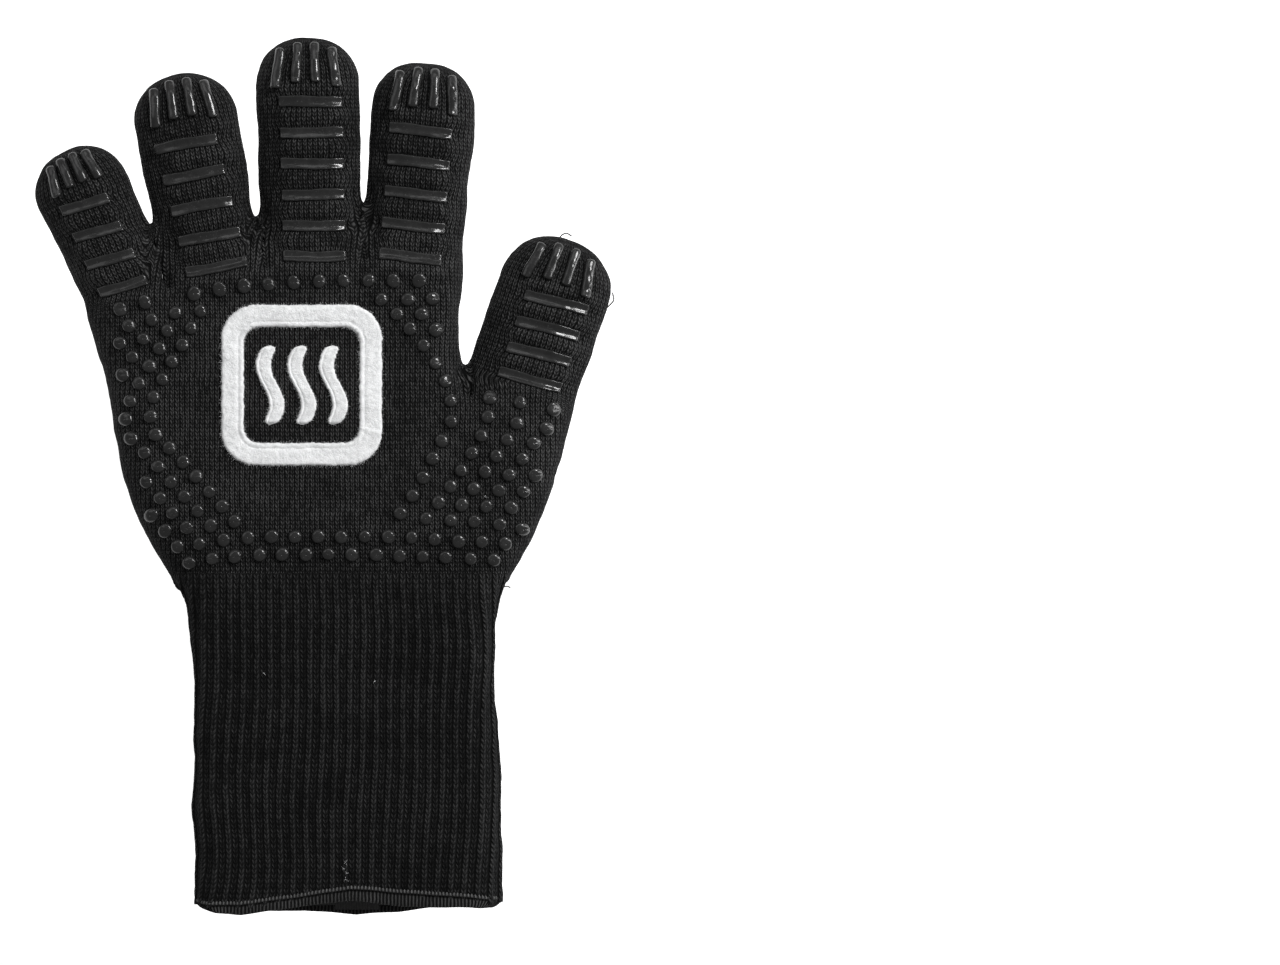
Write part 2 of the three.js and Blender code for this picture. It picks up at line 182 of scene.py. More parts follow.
# The outline of the hand and the cuff without the digits, from the cuff's mouth up the thumb side and back.
OUTLINE = [
    (68, -190), (68.2, -178), (68.2, -166), (68, -154), (67.4, -125), (66.2, -103), (65, -80), (64.8, -64),
    (65.4, -53), (67.3, -44.5), (70.6, -39), (79.5, -23), (86.5, -6), (89.8, 11), (92.3, 27), (78, 37),
    (60.5, 38), (53.4, 38.6), (51.2, 49), (50.4, 66),
    (50.4, 84), (33, 90), (20, 92), (15, 103), (10, 92), (-4, 90), (-18, 88), (-24.2, 99), (-30, 86),
    (-40, 84), (-55, 82), (-63.6, 95), (-69, 79), (-74, 73), (-87.8, 64),
    (-86.8, 52), (-81.5, 29), (-78.8, 12), (-74.6, -5), (-67.7, -22), (-58, -38.5),
    (-53.4, -45), (-51.4, -50), (-50.4, -57), (-49.4, -70),
    (-48.8, -97), (-49.2, -130), (-49.1, -156), (-49, -168), (-49, -180), (-49, -190),
]

# The creases between the roots of the digits
CREASES = [
    ((-58.6, 73), (-66, 97)),
    ((-21.8, 81), (-24.6, 103)),
    ((15.6, 84), (15.2, 109)),
    ((55.2, 33), (54, 39)),
]

# Strings of dots: how many, then the points that the string runs through.
DOT_STRINGS = [
    (10, (-48.4, 69), (-29.3, 72.1), (-1.2, 74.2), (36.5, 74.3)),
    (13, (22.9, 67.3), (39, 48.9), (46.9, 35.9), (48.9, 22), (42.7, 7.7), (35, -6.5), (29.9, -13.8)),
    (3, (32.4, 67.3), (43.1, 55.5)),
    (1, (41.7, 67.5)),
    (8, (63.8, 30), (63.4, 23.3), (57.6, 10), (49.4, -3), (39.4, -16.2)),
    (8, (75.3, 27.5), (74.2, 21), (67, 9), (58.4, -3.6), (48.7, -16.9)),
    (8, (87.7, 24.9), (85.3, 18.5), (76.6, 7.7), (67.6, -4.5), (57.9, -17.3)),
    (4, (80.8, 0.3), (67.3, -18.3)),
    (1, (75.8, -20)),
    (12, (-28.1, -23.2), (24.5, -23.2), (69.4, -25.6)),
    (14, (-50.6, -32.8), (-22.6, -29.9), (29.1, -30.3), (64.7, -31.7)),
    (14, (-46.2, 62.8), (-53.6, 49.3), (-64.1, 29.5), (-63.7, 17), (-54, 6.7), (-33.2, -17.1)),
    (15, (-55.7, 62), (-62.1, 47.8), (-73.4, 27.5), (-72.8, 14.8), (-63.1, 4.5), (-37.4, -24.3)),
    (5, (-67, 65.9), (-64.5, 59.6), (-75.6, 38.4)),
    (5, (-66.6, -2.4), (-47, -25.7)),
    (3, (-76.5, 63.3), (-73.6, 57.1), (-76.7, 50.3)),
    (3, (-64.9, -15.1), (-55.3, -27)),
]
PALM_DOT_STRINGS = [
    (10, (-48.4, 67), (36.5, 70)),
    (11, (-60, 48), (42, 50)),
    (12, (-66, 28), (46, 28)),
    (13, (-66, 8), (74, 8)),
    (12, (-56, -12), (66, -12)),
    (11, (-48, -30), (60, -30)),
]


# ---------------------------------------------------------------- numbers

def smoothstep(value, low, high):
    share = np.clip((value - low) / (high - low), 0, 1)
    return share * share * (3 - 2 * share)


def smooth_max(a, b, width):
    return 0.5 * (a + b + np.sqrt((a - b) ** 2 + width * width))


def unit(vectors):
    """Vectors at length 1."""
    return vectors / np.maximum(np.linalg.norm(vectors, axis=1), 1e-9)[:, None]


def bisect(is_inside, low, high, rounds):
    """The edge of what is inside, between arrays of values inside (low) and outside (high)."""
    for _ in range(rounds):
        middle = (low + high) / 2
        inside = is_inside(middle)
        low = np.where(inside, middle, low)
        high = np.where(inside, high, middle)
    return low


def spline(points, count, closed=False):
    """Points evenly spaced along a Catmull-Rom curve through the given points."""
    given = np.array(points, float)
    if len(given) == 1:
        return given
    if closed:
        ring = np.vstack([given[-1:], given, given[:2]])
    else:
        ring = np.vstack([2 * given[:1] - given[1:2], given, 2 * given[-1:] - given[-2:-1]])
    fine = []
    steps = 12
    for index in range(1, len(ring) - 2):
        before, start, end, after = ring[index - 1:index + 3]
        share = np.arange(steps)[:, None] / steps
        fine.append(0.5 * (2 * start + (end - before) * share
                           + (2 * before - 5 * start + 4 * end - after) * share ** 2
                           + (3 * start - before - 3 * end + after) * share ** 3))
    fine = np.vstack(fine + [ring[-2:-1]])
    lengths = np.concatenate([[0], np.cumsum(np.linalg.norm(np.diff(fine, axis=0), axis=1))])
    wanted = np.linspace(0, lengths[-1], count)
    return np.stack([np.interp(wanted, lengths, fine[:, axis]) for axis in range(given.shape[1])], 1)


def polygon_distance(points, polygon):
    """Signed distance to a closed polygon, above zero inside."""
    nearest = np.full(len(points), np.inf)
    inside = np.zeros(len(points), bool)
    for start, end in zip(polygon, np.roll(polygon, -1, 0)):
        edge = end - start
        offset = points - start
        share = np.clip(offset @ edge / max(edge @ edge, 1e-9), 0, 1)
        nearest = np.minimum(nearest, np.hypot(*(offset - share[:, None] * edge).T))
        crosses = (start[1] > points[:, 1]) != (end[1] > points[:, 1])
        rise = edge[1] if abs(edge[1]) > 1e-9 else 1e-9
        inside ^= crosses & (offset[:, 0] < edge[0] * offset[:, 1] / rise)
    return np.where(inside, nearest, -nearest)


class Waves:
    """Smooth seeded unevenness: a sum of a few sine waves in random directions."""

    def __init__(self, seed, length, count=9):
        random = np.random.default_rng(seed)
        directions = unit(random.normal(size=(count, 3)))
        self.waves = directions * (2 * np.pi / (length * random.uniform(0.7, 1.4, count)))[:, None]
        self.phases = random.uniform(0, 2 * np.pi, count)

    def __call__(self, points):
        return np.sin(points @ self.waves.T + self.phases).sum(1) / math.sqrt(len(self.phases))


# ---------------------------------------------------------------- the digits' places, from the frame's joints

def joint(name):
    return next(j for j in frame["joints"] if j["name"] == name)


class Digit:
    def __init__(self, name, tilt, root, half, aside, trim, below, **bars):
        """The facts are those of DIGITS. The ones about bars and ribs are kept under their own names."""
        self.name = name
        self.root = root
        self.half = half
        vars(self).update(bars)
        knuckle = joint(f"{name}_knuckle")
        middle = joint(f"{name}_middle_joint")
        self.crease = np.array([knuckle["axis"][1], -knuckle["axis"][0]])
        self.knuckle = np.array(knuckle["pos_m"][:2]) / MM
        self.middle = np.array(middle["pos_m"][:2]) / MM
        root_place = self.knuckle - below * self.crease
        angle = math.radians(tilt)
        self.along = np.array([-math.sin(angle), math.cos(angle)])
        self.across = np.array([math.cos(angle), math.sin(angle)])
        self.base = root_place + aside * self.across
        tip = frame["nodes"][f"{name}_tip_shell"].data.vertices
        self.length = max((np.array(v.co[:2]) / MM - self.base) @ self.along for v in tip) - trim
        self.cap = 0.93 * half
        self.pivot_z = knuckle["pos_m"][2] / MM
        knuckle_way = (self.knuckle - self.base) @ self.crease
        middle_way = (self.middle - self.base) @ self.crease
        self.hand_end = knuckle_way - BEND_HALF
        self.cut = (knuckle_way + middle_way) / 2

    def local(self, points):
        offset = points[:, :2] - self.base
        return offset @ self.across, offset @ self.along

    def plan_of(self, side, way):
        return self.base + side[..., None] * self.across + way[..., None] * self.along

    def crease_way(self, points):
        return (points[:, :2] - self.base) @ self.crease

    def half_at(self, way):
        grown = self.root + (self.half - self.root) * smoothstep(way, 5, 42)
        return grown * (1 - 0.06 * smoothstep(-way, 0, 20))

    def field(self, points):
        side, way = self.local(points)
        past = np.maximum(way - (self.length - self.cap), 0) / self.cap
        round_off = (np.abs(side) / self.half_at(way)) ** 2.25 + past ** 2.1
        share = smoothstep(way, -34, -8)
        up = points[:, 2] - FLOOR_CLEARANCE - DIGIT_RISE
        thick = (1 - round_off) * (DIGIT_RISE * share) ** 2
        return (thick - up ** 2) / (2 * DIGIT_RISE) - 9 * (1 - share) ** 2

    def bend_at(self, piece):
        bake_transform(piece)

    def bend_root(self, piece):
        """Bakes the placement of a piece that reaches past the knuckle into its mesh."""
        self.bend_at(piece)

    def bend_end(self, piece):
        """Bakes the placement of a piece that reaches past the middle joint into its mesh."""
        self.bend_at(piece)


digits = [Digit(name, **facts) for name, facts in DIGITS.items()]


# ---------------------------------------------------------------- the skin's field

def rise_at(points):
    """Half the thickness of the hand and the cuff."""
    return CUFF_RISE + (HAND_RISE - CUFF_RISE) * smoothstep(points[:, 1], *WRIST_TURN)


def rounding_at(points):
    """How far in from the outline the skin curves over."""
    return CUFF_ROUNDING + (HAND_ROUNDING - CUFF_ROUNDING) * smoothstep(points[:, 1], *WRIST_TURN)


class HandField:
    """How far a point is under the skin, in about millimetres: above zero inside."""

    step = 1.0

    def __init__(self):
        self.low = np.array(PLAN_LOW)
        axes = (np.arange(low, high, self.step) for low, high in zip(PLAN_LOW, PLAN_HIGH))
        grid = np.stack(np.meshgrid(*axes, indexing="ij"), -1)
        outline = spline(OUTLINE, 300, closed=True)
        self.depth = polygon_distance(grid.reshape(-1, 2), outline).reshape(grid.shape[:2])

    def outline_depth(self, points):
        place = (points[:, :2] - self.low) / self.step
        limit = np.array(self.depth.shape) - 1.001
        place = np.clip(place, 0, limit)
        cell = place.astype(int)
        share = place - cell
        i, j = cell.T
        u, v = share.T
        depth = self.depth
        return ((depth[i, j] * (1 - u) + depth[i + 1, j] * u) * (1 - v)
                + (depth[i, j + 1] * (1 - u) + depth[i + 1, j + 1] * u) * v)

    def hand(self, points):
        rise = rise_at(points)
        edge = 1 - (1 - np.clip(self.outline_depth(points) / rounding_at(points), -0.6, 1)) ** 2
        up = points[:, 2] - FLOOR_CLEARANCE - rise
        return (edge * rise ** 2 - up ** 2) / (2 * rise)

    def __call__(self, points):
        digit = np.max([d.field(points) for d in digits], axis=0)
        return smooth_max(self.hand(points), digit, CREASE_SMOOTH)

    def gradient(self, points):
        reach = 0.25
        parts = []
        for axis in range(3):
            shift = np.zeros(3)
            shift[axis] = reach
            parts.append((self(points + shift) - self(points - shift)) / (2 * reach))
        return np.stack(parts, 1)

    def settle(self, points, rounds=3):
        """Moves points onto the skin."""
        for _ in range(rounds):
            value = self(points)
            slope = self.gradient(points)
            steep = np.maximum((slope ** 2).sum(1), 0.05)
            move = -value[:, None] * slope / steep[:, None]
            length = np.linalg.norm(move, axis=1)
            move *= np.minimum(1, 1.2 / np.maximum(length, 1e-9))[:, None]
            points = points + move
        return points


def surface_net(field, low, high, step):
    """A quad mesh of the zero surface of a field over a box."""
    axes = [np.arange(low[axis], high[axis] + step, step) for axis in range(3)]
    shape = tuple(len(axis) for axis in axes)
    grid = np.stack(np.meshgrid(*axes, indexing="ij"), -1)
    values = field(grid.reshape(-1, 3)).reshape(shape)
    inside = values > 0
    cells = tuple(count - 1 for count in shape)
    total = np.zeros(cells + (3,))
    crossings = np.zeros(cells)
    for axis in range(3):
        others = [other for other in range(3) if other != axis]
        for a in (0, 1):
            for b in (0, 1):
                first = [slice(0, cells[k]) for k in range(3)]
                first[others[0]] = slice(a, a + cells[others[0]])
                first[others[1]] = slice(b, b + cells[others[1]])
                second = list(first)
                second[axis] = slice(1, 1 + cells[axis])
                near, far = values[tuple(first)], values[tuple(second)]
                cross = inside[tuple(first)] != inside[tuple(second)]
                share = np.where(cross, near / np.where(cross, near - far, 1), 0)
                start = grid[tuple(first)]
                total += np.where(cross[..., None], start, 0)
                total[..., axis] += share * step
                crossings += cross
    used = crossings > 0
    index = np.full(cells, -1)
    index[used] = np.arange(used.sum())
    points = total[used] / crossings[used][:, None]
    faces = []
    for axis in range(3):
        b, c = (axis + 1) % 3, (axis + 2) % 3
        near = [slice(1, -1)] * 3
        near[axis] = slice(0, -1)
        far = list(near)
        far[axis] = slice(1, None)
        change = inside[tuple(near)] != inside[tuple(far)]
        cell = np.argwhere(change)
        cell[:, b] += 1
        cell[:, c] += 1
        outward = inside[tuple(near)][change]
        corner = []
        for down_b, down_c in ((1, 1), (0, 1), (0, 0), (1, 0)):
            place = cell.copy()
            place[:, b] -= down_b
            place[:, c] -= down_c
            corner.append(index[tuple(place.T)])
        quads = np.stack(corner, 1)
        quads[~outward] = quads[~outward][:, ::-1]
        faces.append(quads)
    faces = np.vstack(faces)
    return points, faces[(faces >= 0).all(1)]


def relax(points, faces, rounds, settle):
    """Evens out a mesh along its own surface."""
    a = faces.ravel()
    b = np.roll(faces, -1, axis=1).ravel()
    count = np.bincount(a, minlength=len(points)) + np.bincount(b, minlength=len(points))
    for _ in range(rounds):
        mean = np.stack([
            np.bincount(a, points[b, axis], len(points)) + np.bincount(b, points[a, axis], len(points))
            for axis in range(3)
        ], 1) / np.maximum(count, 1)[:, None]
        points = settle(points + 0.6 * (mean - points))
    return points


# ---------------------------------------------------------------- making Blender meshes

def new_object(name, data):
    made = bpy.data.objects.new(name, data)
    bpy.context.scene.collection.objects.link(made)
    return made


def new_mesh(name, points, faces, smooth=True):
    mesh = bpy.data.meshes.new(name)
    faces = np.asarray(faces)
    mesh.vertices.add(len(points))
    mesh.vertices.foreach_set("co", (np.asarray(points) * MM).astype(np.float32).ravel())
    mesh.loops.add(faces.size)
    mesh.loops.foreach_set("vertex_index", faces.ravel().astype(np.int32))
    mesh.polygons.add(len(faces))
    starts = np.arange(len(faces)) * faces.shape[1]
    mesh.polygons.foreach_set("loop_start", starts.astype(np.int32))
    mesh.update(calc_edges=True)
    mesh.polygons.foreach_set("use_smooth", np.full(len(faces), smooth))
    return new_object(name, mesh)


def add_knit_map(piece, places):
    """Knit coordinates in millimetres for each vertex, kept as a UV map."""
    layer = piece.data.uv_layers.new(name="knit")
    corners = np.zeros(len(piece.data.loops), np.int32)
    piece.data.loops.foreach_get("vertex_index", corners)
    layer.data.foreach_set("uv", places[corners].astype(np.float32).ravel())


def subdivided(points, faces):
    """One round of Catmull-Clark, through Blender's own modifier."""
    piece = new_mesh("to_subdivide", points, faces)
    piece.modifiers.new("finer", "SUBSURF").levels = 1
    fine = piece.evaluated_get(bpy.context.evaluated_depsgraph_get()).to_mesh()
    new_points = np.zeros(len(fine.vertices) * 3, np.float32)
    fine.vertices.foreach_get("co", new_points)
    new_faces = np.zeros(len(fine.loops), np.int32)
    fine.loops.foreach_get("vertex_index", new_faces)
    piece.evaluated_get(bpy.context.evaluated_depsgraph_get()).to_mesh_clear()
    bpy.data.objects.remove(piece)
    return new_points.reshape(-1, 3).astype(float) / MM, new_faces.reshape(-1, 4)


def vertex_normals(points, faces):
    across = points[faces[:, 2]] - points[faces[:, 0]]
    down = points[faces[:, 3 % faces.shape[1]]] - points[faces[:, 1]]
    flat = np.cross(across, down)
    return unit(np.stack([
        sum(np.bincount(faces[:, corner], flat[:, axis], len(points)) for corner in range(faces.shape[1]))
        for axis in range(3)
    ], 1))


def part_of(faces, chosen):
    """The chosen faces numbered by their own points only, and those points' old numbers."""
    faces = faces[chosen]
    used, numbers = np.unique(faces, return_inverse=True)
    return numbers.reshape(faces.shape), used


def merge_close(piece, distance):
    work = bmesh.new()
    work.from_mesh(piece.data)
    bmesh.ops.remove_doubles(work, verts=work.verts, dist=distance * MM)
    bmesh.ops.recalc_face_normals(work, faces=work.faces)
    work.to_mesh(piece.data)
    work.free()


def add_piece(name, points, faces, material, body=None, node=None, merge=None):
    """A visible piece with its finish, and where given the body it rides on and the CAD node it replaces."""
    piece = new_mesh(name, points, faces)
    if merge:
        merge_close(piece, merge)
    piece.data.materials.append(material)
    if body:
        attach(piece, body)
    if node:
        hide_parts(node)
    return piece


# ---------------------------------------------------------------- materials

def operator(kind, swapped=False):
    def apply(self, other=0.0):
        return self.nodes.maths(kind, *((other, self) if swapped else (self, other)))
    return apply


class Term:
    """A node's output, which goes into further nodes by ordinary arithmetic."""

    def __init__(self, nodes, socket):
        self.nodes = nodes
        self.socket = socket

    __add__ = operator("ADD")
    __sub__ = operator("SUBTRACT")
    __rsub__ = operator("SUBTRACT", swapped=True)
    __mul__ = operator("MULTIPLY")
    __truediv__ = operator("DIVIDE")
    __pow__ = operator("POWER")
    __abs__ = operator("ABSOLUTE")
    fract = operator("FRACT")
    floor = operator("FLOOR")
    cosine = operator("COSINE")


class Nodes:
    """A material's node tree, written by short calls. Inputs are given in turn, or by number or name."""

    def __init__(self, name):
        self.material = bpy.data.materials.new(name)
        self.material.use_nodes = True
        self.tree = self.material.node_tree
        # The object's own coordinates, in metres, so that patterns move with a bending piece
        self.spot = self.add("Object", "ShaderNodeTexCoord")

    def feed(self, node, inputs):
        for key, value in inputs.items() if isinstance(inputs, dict) else enumerate(inputs):
            if isinstance(value, Term):
                self.tree.links.new(value.socket, node.inputs[key])
            else:
                node.inputs[key].default_value = value

    def add(self, output, kind, inputs=(), **settings):
        node = self.tree.nodes.new(kind)
        for key, value in settings.items():
            setattr(node, key, value)
        self.feed(node, inputs)
        return Term(self, node.outputs[output])

    def maths(self, operation, *values):
        return self.add(0, "ShaderNodeMath", values, operation=operation)

    def spread(self, value, low, high, to_low=0.0, to_high=1.0):
        inputs = (value, low, high, to_low, to_high)
        return self.add(0, "ShaderNodeMapRange", inputs, interpolation_type="SMOOTHSTEP")

    def noise(self, scale, detail=3.0, rough=0.5, vector=None):
        inputs = {"Vector": vector or self.spot, "Scale": scale, "Detail": detail, "Roughness": rough}
        return self.add("Fac", "ShaderNodeTexNoise", inputs)

    def wave(self, direction, scale, distortion):
        inputs = {"Vector": self.spot, "Scale": scale, "Distortion": distortion}
        return self.add("Fac", "ShaderNodeTexWave", inputs, bands_direction=direction)

    def knit_map(self):
        place = self.add(0, "ShaderNodeUVMap", uv_map="knit")
        return [self.add(axis, "ShaderNodeSeparateXYZ", (place,)) for axis in (0, 1)]

    def mix(self, share, first, second):
        return self.add(2, "ShaderNodeMix", {0: share, 6: first, 7: second}, data_type="RGBA")

    def bump(self, height, distance, strength=1.0, normal=None):
        inputs = {"Strength": strength, "Distance": distance, "Height": height}
        if normal:
            inputs["Normal"] = normal
        return self.add("Normal", "ShaderNodeBump", inputs)

    def finish(self, colour, roughness, normal=None, **constants):
        shader = next(n for n in self.tree.nodes if n.type == "BSDF_PRINCIPLED")
        inputs = {key.replace("_", " "): value for key, value in constants.items()}
        inputs.update({"Base Color": colour, "Roughness": roughness})
        if normal:
            inputs["Normal"] = normal
        self.feed(shader, inputs)
        return self.material

    def finish_knit(self, colour, height, rise, fuzz, **constants):
        normal = self.bump(fuzz, 0.00015, 0.6, self.bump(height, rise))
        roughness = self.spread(fuzz, 0.3, 0.7, 0.7, 0.92)
        return self.finish(colour, roughness, normal, Sheen_Weight=0.02, Sheen_Roughness=0.5,
                           Specular_IOR_Level=0.06, **constants)


def grey(level):
    return (level, level, level, 1)


def knit_material(name, wale, course, dark, light, ribbed=False):
    """Stocking stitch from the knit map: each wale is a column of paired slanting yarn loops. Its colour
    mixes painted shade, darker in the gaps between the loops, with the yarn's own uneven tone from stitch to
    stitch and in patches.
    """
    m = Nodes(name)
    across, along = m.knit_map()
    sway = (m.noise(160, 2) - 0.5) * 0.9
    column = (across + sway) / wale + 0.5
    off_centre = abs(column.fract() - 0.5) * 2.0
    lifted = (along + sway) / course - off_centre * 0.85
    cell = m.add(0, "ShaderNodeCombineXYZ", ((column * 2.0).floor(), lifted.floor()))
    each = m.add(0, "ShaderNodeTexWhiteNoise", {"Vector": cell}, noise_dimensions="2D")
    yarn = 1.0 - abs(lifted.fract() * 2.0 - 1.0) ** 1.25
    leg = 1.0 - abs(off_centre * 2.0 - 0.9) ** 2.0
    edge = m.spread(off_centre, 0.98, 0.55)
    height = edge * m.maths("MAXIMUM", leg, 0.0) * yarn * 0.85 + edge * 0.15
    fuzz = m.noise(2600, 4, 0.7)
    # shade: painted shade from the loops' height, darker in the gaps between them, times the yarn's own
    # uneven tone
    shade = height * m.spread(m.noise(45, 3, 0.6), 0.3, 0.7, 0.8, 1.25) * (each * 0.75 + 0.6)
    if ribbed:
        # On the cuff, painted shade in the valleys between the ribs, less dark towards the top where the ribs
        # fade
        turn = (across * (math.pi / wale)).cosine()
        start = m.spread(along, -58, RIB_TOP_Y, 0.66, 0.92)
        shade = shade * m.spread(turn, -0.6, 0.8, start, 1.0)
    else:
        at_wrist = m.spread(along, RIB_TOP_Y, RIB_TOP_Y + 24, 0.68, 1.0)
        on_digits = m.spread(along, 70, 105, 1.0, 0.88)
        shade = shade * (at_wrist * on_digits)
    tone = shade + (fuzz - 0.5) * 0.5
    colour = m.mix(m.spread(tone, 0.0, 1.0) ** 1.3, dark, light)
    return m.finish_knit(colour, height, 0.0011, fuzz, Sheen_Tint=(0.6, 0.62, 0.66, 1))


def binding_material():
    """Upright overlock stitches under a lighter row of loops.

    The knit map holds the stitch's number and the millimetres under the edge.
    """
    m = Nodes("knit_hem_binding")
    number, under = m.knit_map()
    fuzz = m.noise(2600, 4, 0.7)
    sway = (m.noise(300, 2) - 0.5) * 0.7
    under = under + sway * 0.6
    turn = ((number + sway) * (2 * math.pi)).cosine()
    upright = m.spread(turn, -0.9, 0.9, 0.12, 0.8)
    loop = m.spread(turn, 0.7, -0.8, 0.3, 1.0)
    edge = m.spread(under, 1.35, 1.1)
    gap = m.spread(under, 1.1, 1.4) * m.spread(under, 2.3, 1.8)
    patches = m.spread(m.noise(60, 3, 0.6), 0.3, 0.7, 0.75, 1.2)
    height = (upright + edge * (loop - upright)) * (1.0 - gap * 0.75)
    # The colour follows the stitches' height: painted shade between the upright stitches and in the groove
    # under the row of loops, with the yarn's own uneven tone in patches
    tone = height * (edge * 0.3 + 0.55) * patches + (fuzz - 0.5) * 0.4
    colour = m.mix(m.spread(tone, 0.0, 1.0), grey(0.003), grey(0.08))
    return m.finish_knit(colour, height, 0.0007, fuzz)


def silicone_material():
    m = Nodes("silicone_grip")
    mottle = m.noise(260, 4, 0.6)
    dust = m.spread(m.noise(1500, 2, 0.6), 0.62, 0.74)
    turned = {0: m.spot, "Rotation": (0, 0, 0.7), "Scale": (240, 2200, 900)}
    stretched = m.add(0, "ShaderNodeMapping", turned)
    scratch = m.spread(m.noise(1.0, 2, 0.5, stretched), 0.7, 0.78)
    colour = m.mix(m.spread(mottle, 0.3, 0.75), grey(0.009), grey(0.0155))
    colour = m.mix(dust * 0.25, colour, grey(0.12))
    colour = m.mix(scratch * 0.22, colour, grey(0.16))
    roughness = m.spread(mottle, 0.3, 0.75, 0.14, 0.24) + dust * 0.2
    normal = m.bump(m.noise(420, 3, 0.55), 0.00018, 0.7)
    normal = m.bump(m.noise(2400, 2), 0.00004, 0.5, normal)
    return m.finish(colour, roughness, normal, Specular_IOR_Level=0.3, Coat_Weight=0.03, Coat_Roughness=0.15)


def felt_material():
    m = Nodes("white_felt")
    fibre = m.noise(1900, 5, 0.75)
    clumps = m.noise(500, 3, 0.6)
    cells = m.add("Distance", "ShaderNodeTexVoronoi", {"Vector": m.spot, "Scale": 620}, feature="F1")
    colour = m.mix(m.spread(clumps, 0.3, 0.7), (0.6, 0.605, 0.61, 1), (0.73, 0.735, 0.74, 1))
    colour = m.mix(m.spread(fibre, 0.45, 0.3) * 0.35, colour, grey(0.35))
    colour = m.mix(m.spread(cells, 0.16, 0.07) * 0.5, colour, grey(0.3))
    normal = m.bump(fibre, 0.00035, 0.9, m.bump(clumps, 0.0006, 0.8))
    return m.finish(colour, 0.93, normal, Sheen_Weight=0.3, Sheen_Roughness=0.5, Specular_IOR_Level=0.2)


def lining_material():
    m = Nodes("cotton_lining")
    height = m.wave("X", 520, 1.5) * 0.6 + m.noise(1500, 4, 0.7) * 0.5
    colour = m.mix(m.spread(height, 0.2, 0.9), grey(0.012), grey(0.034))
    return m.finish(colour, 0.92, m.bump(height, 0.0003, 0.8), Sheen_Weight=0.25)


def label_material():
    m = Nodes("care_label_satin")
    colour = m.mix(m.spread(m.noise(220, 3), 0.3, 0.75), (0.62, 0.62, 0.6, 1), (0.76, 0.76, 0.75, 1))
    return m.finish(colour, 0.5, m.bump(m.wave("Y", 900, 0.6), 0.00012, 0.6), Sheen_Weight=0.15)


def print_material():
    m = Nodes("label_ink")
    worn = m.noise(1800, 3)
    colour = m.mix(m.spread(worn, 0.4, 0.7), grey(0.03), grey(0.1))
    return m.finish(colour, 0.7, m.bump(worn, 0.00003, 0.5))


def thread_material():
    m = Nodes("loose_yarn")
    twist = m.noise(3000, 3)
    colour = m.mix(twist, grey(0.012), grey(0.06))
    return m.finish(colour, 0.85, m.bump(twist, 0.00008, 0.8), Sheen_Weight=0.3)


def floor_material():
    m = Nodes("floor")
    colour = m.mix(m.noise(6, 2), grey(0.89), grey(0.91))
    return m.finish(colour, 0.95, Emission_Color=(1, 1, 1, 1), Emission_Strength=0.52)


# ---------------------------------------------------------------- the skin's small shapes

field = HandField()
swell = Waves(SEED, 34)
ripple = Waves(SEED + 1, 12)
roughen = Waves(SEED + 2, 3.5)


def arc_table(wide, high):
    """Arc length round a flattened tube, against the angle from its top."""
    angle = np.linspace(0, np.pi / 2, 60)
    steps = np.hypot(wide * np.diff(np.sin(angle)), high * np.diff(np.cos(angle)))
    return angle, np.concatenate([[0], np.cumsum(steps)])


def knit_places(points):
    """Knit coordinates: how far round the glove across its wales, and how far along them."""
    x, y = points[:, 0], points[:, 1]
    depth = np.clip(field.outline_depth(points), 0, 60)
    rise = rise_at(points)
    rounding = rounding_at(points)
    lean = np.clip(1 - depth / rounding, 0, 1)
    turn = np.arctan2(np.abs(points[:, 2] - FLOOR_CLEARANCE - rise) / rise, lean)
    extra = (np.pi / 2 - turn) * (rounding + rise) / 2 - rounding * lean
    outward = np.where(x > 9, 1, -1)
    round_hand = x + outward * np.clip(extra, 0, 20) * smoothstep(rounding - depth, 0, 3)
    places = [np.stack([round_hand + cuff_sway(x, y), y], 1)]
    grip = [field.hand(points)]
    for digit in digits:
        side, way = digit.local(points)
        half = digit.half_at(way)
        angle, arc = arc_table(digit.half, DIGIT_RISE)
        up = np.abs(points[:, 2] - FLOOR_CLEARANCE - DIGIT_RISE) / DIGIT_RISE
        round_way = np.interp(np.arctan2(np.abs(side) / half, up), angle, arc)
        bowed = np.sign(side) * round_way - bar_bow(digit, side, way)
        places.append(np.stack([digit.base[0] + bowed, digit.base[1] + way], 1))
        # The little finger's knit reaches as far as the crease beside the ring finger.
        reach = 0.8 if digit.name == "pinky" else 0
        fade = 2.5 * np.log(np.maximum(smoothstep(way, -26, 5), 1e-5))
        grip.append(digit.field(points) + reach + fade)
    grip = np.array(grip)
    weight = np.exp((grip - grip.max(0)) / 0.7)
    weight /= weight.sum(0)
    return (weight[:, :, None] * np.array(places)).sum(0)


def cuff_sway(x, y):
    """The cuff's ribs lean, wave and fan out a little towards the hem."""
    on_cuff = 1 - smoothstep(y, -70, -40)
    wave = 1.1 * np.sin(y / 27 + x / 60) + 0.5 * np.sin(y / 11 + x / 23 + 1.2)
    past = np.clip(-135 - y, 0, 40) / 25
    return on_cuff * wave + past ** 2 * (1.6 - 0.02 * x)


def bar_bow(digit, side, way):
    """How far the wales bow out past the ends of the bars."""
    phase = (tilted_way(digit, side, way) - digit.first) / digit.pitch
    on_bars = smoothstep(phase, -0.9, 0) * (1 - smoothstep(phase, digit.bars - 1, digit.bars))
    offset = side - digit.shift
    reach = digit.bar / 2
    near_end = np.exp(-((np.abs(offset) - reach) / 3.6) ** 2)
    return -np.sign(offset) * near_end * on_bars * 0.75 * np.cos(2 * np.pi * phase)


def bar_ways(digit):
    return digit.first + digit.pitch * np.arange(digit.bars)


def tilted_way(digit, side, way):
    """How far along a digit a point is, counted square to the digit's sloping bars."""
    return way + math.tan(math.radians(digit.slope)) * (side - digit.shift)


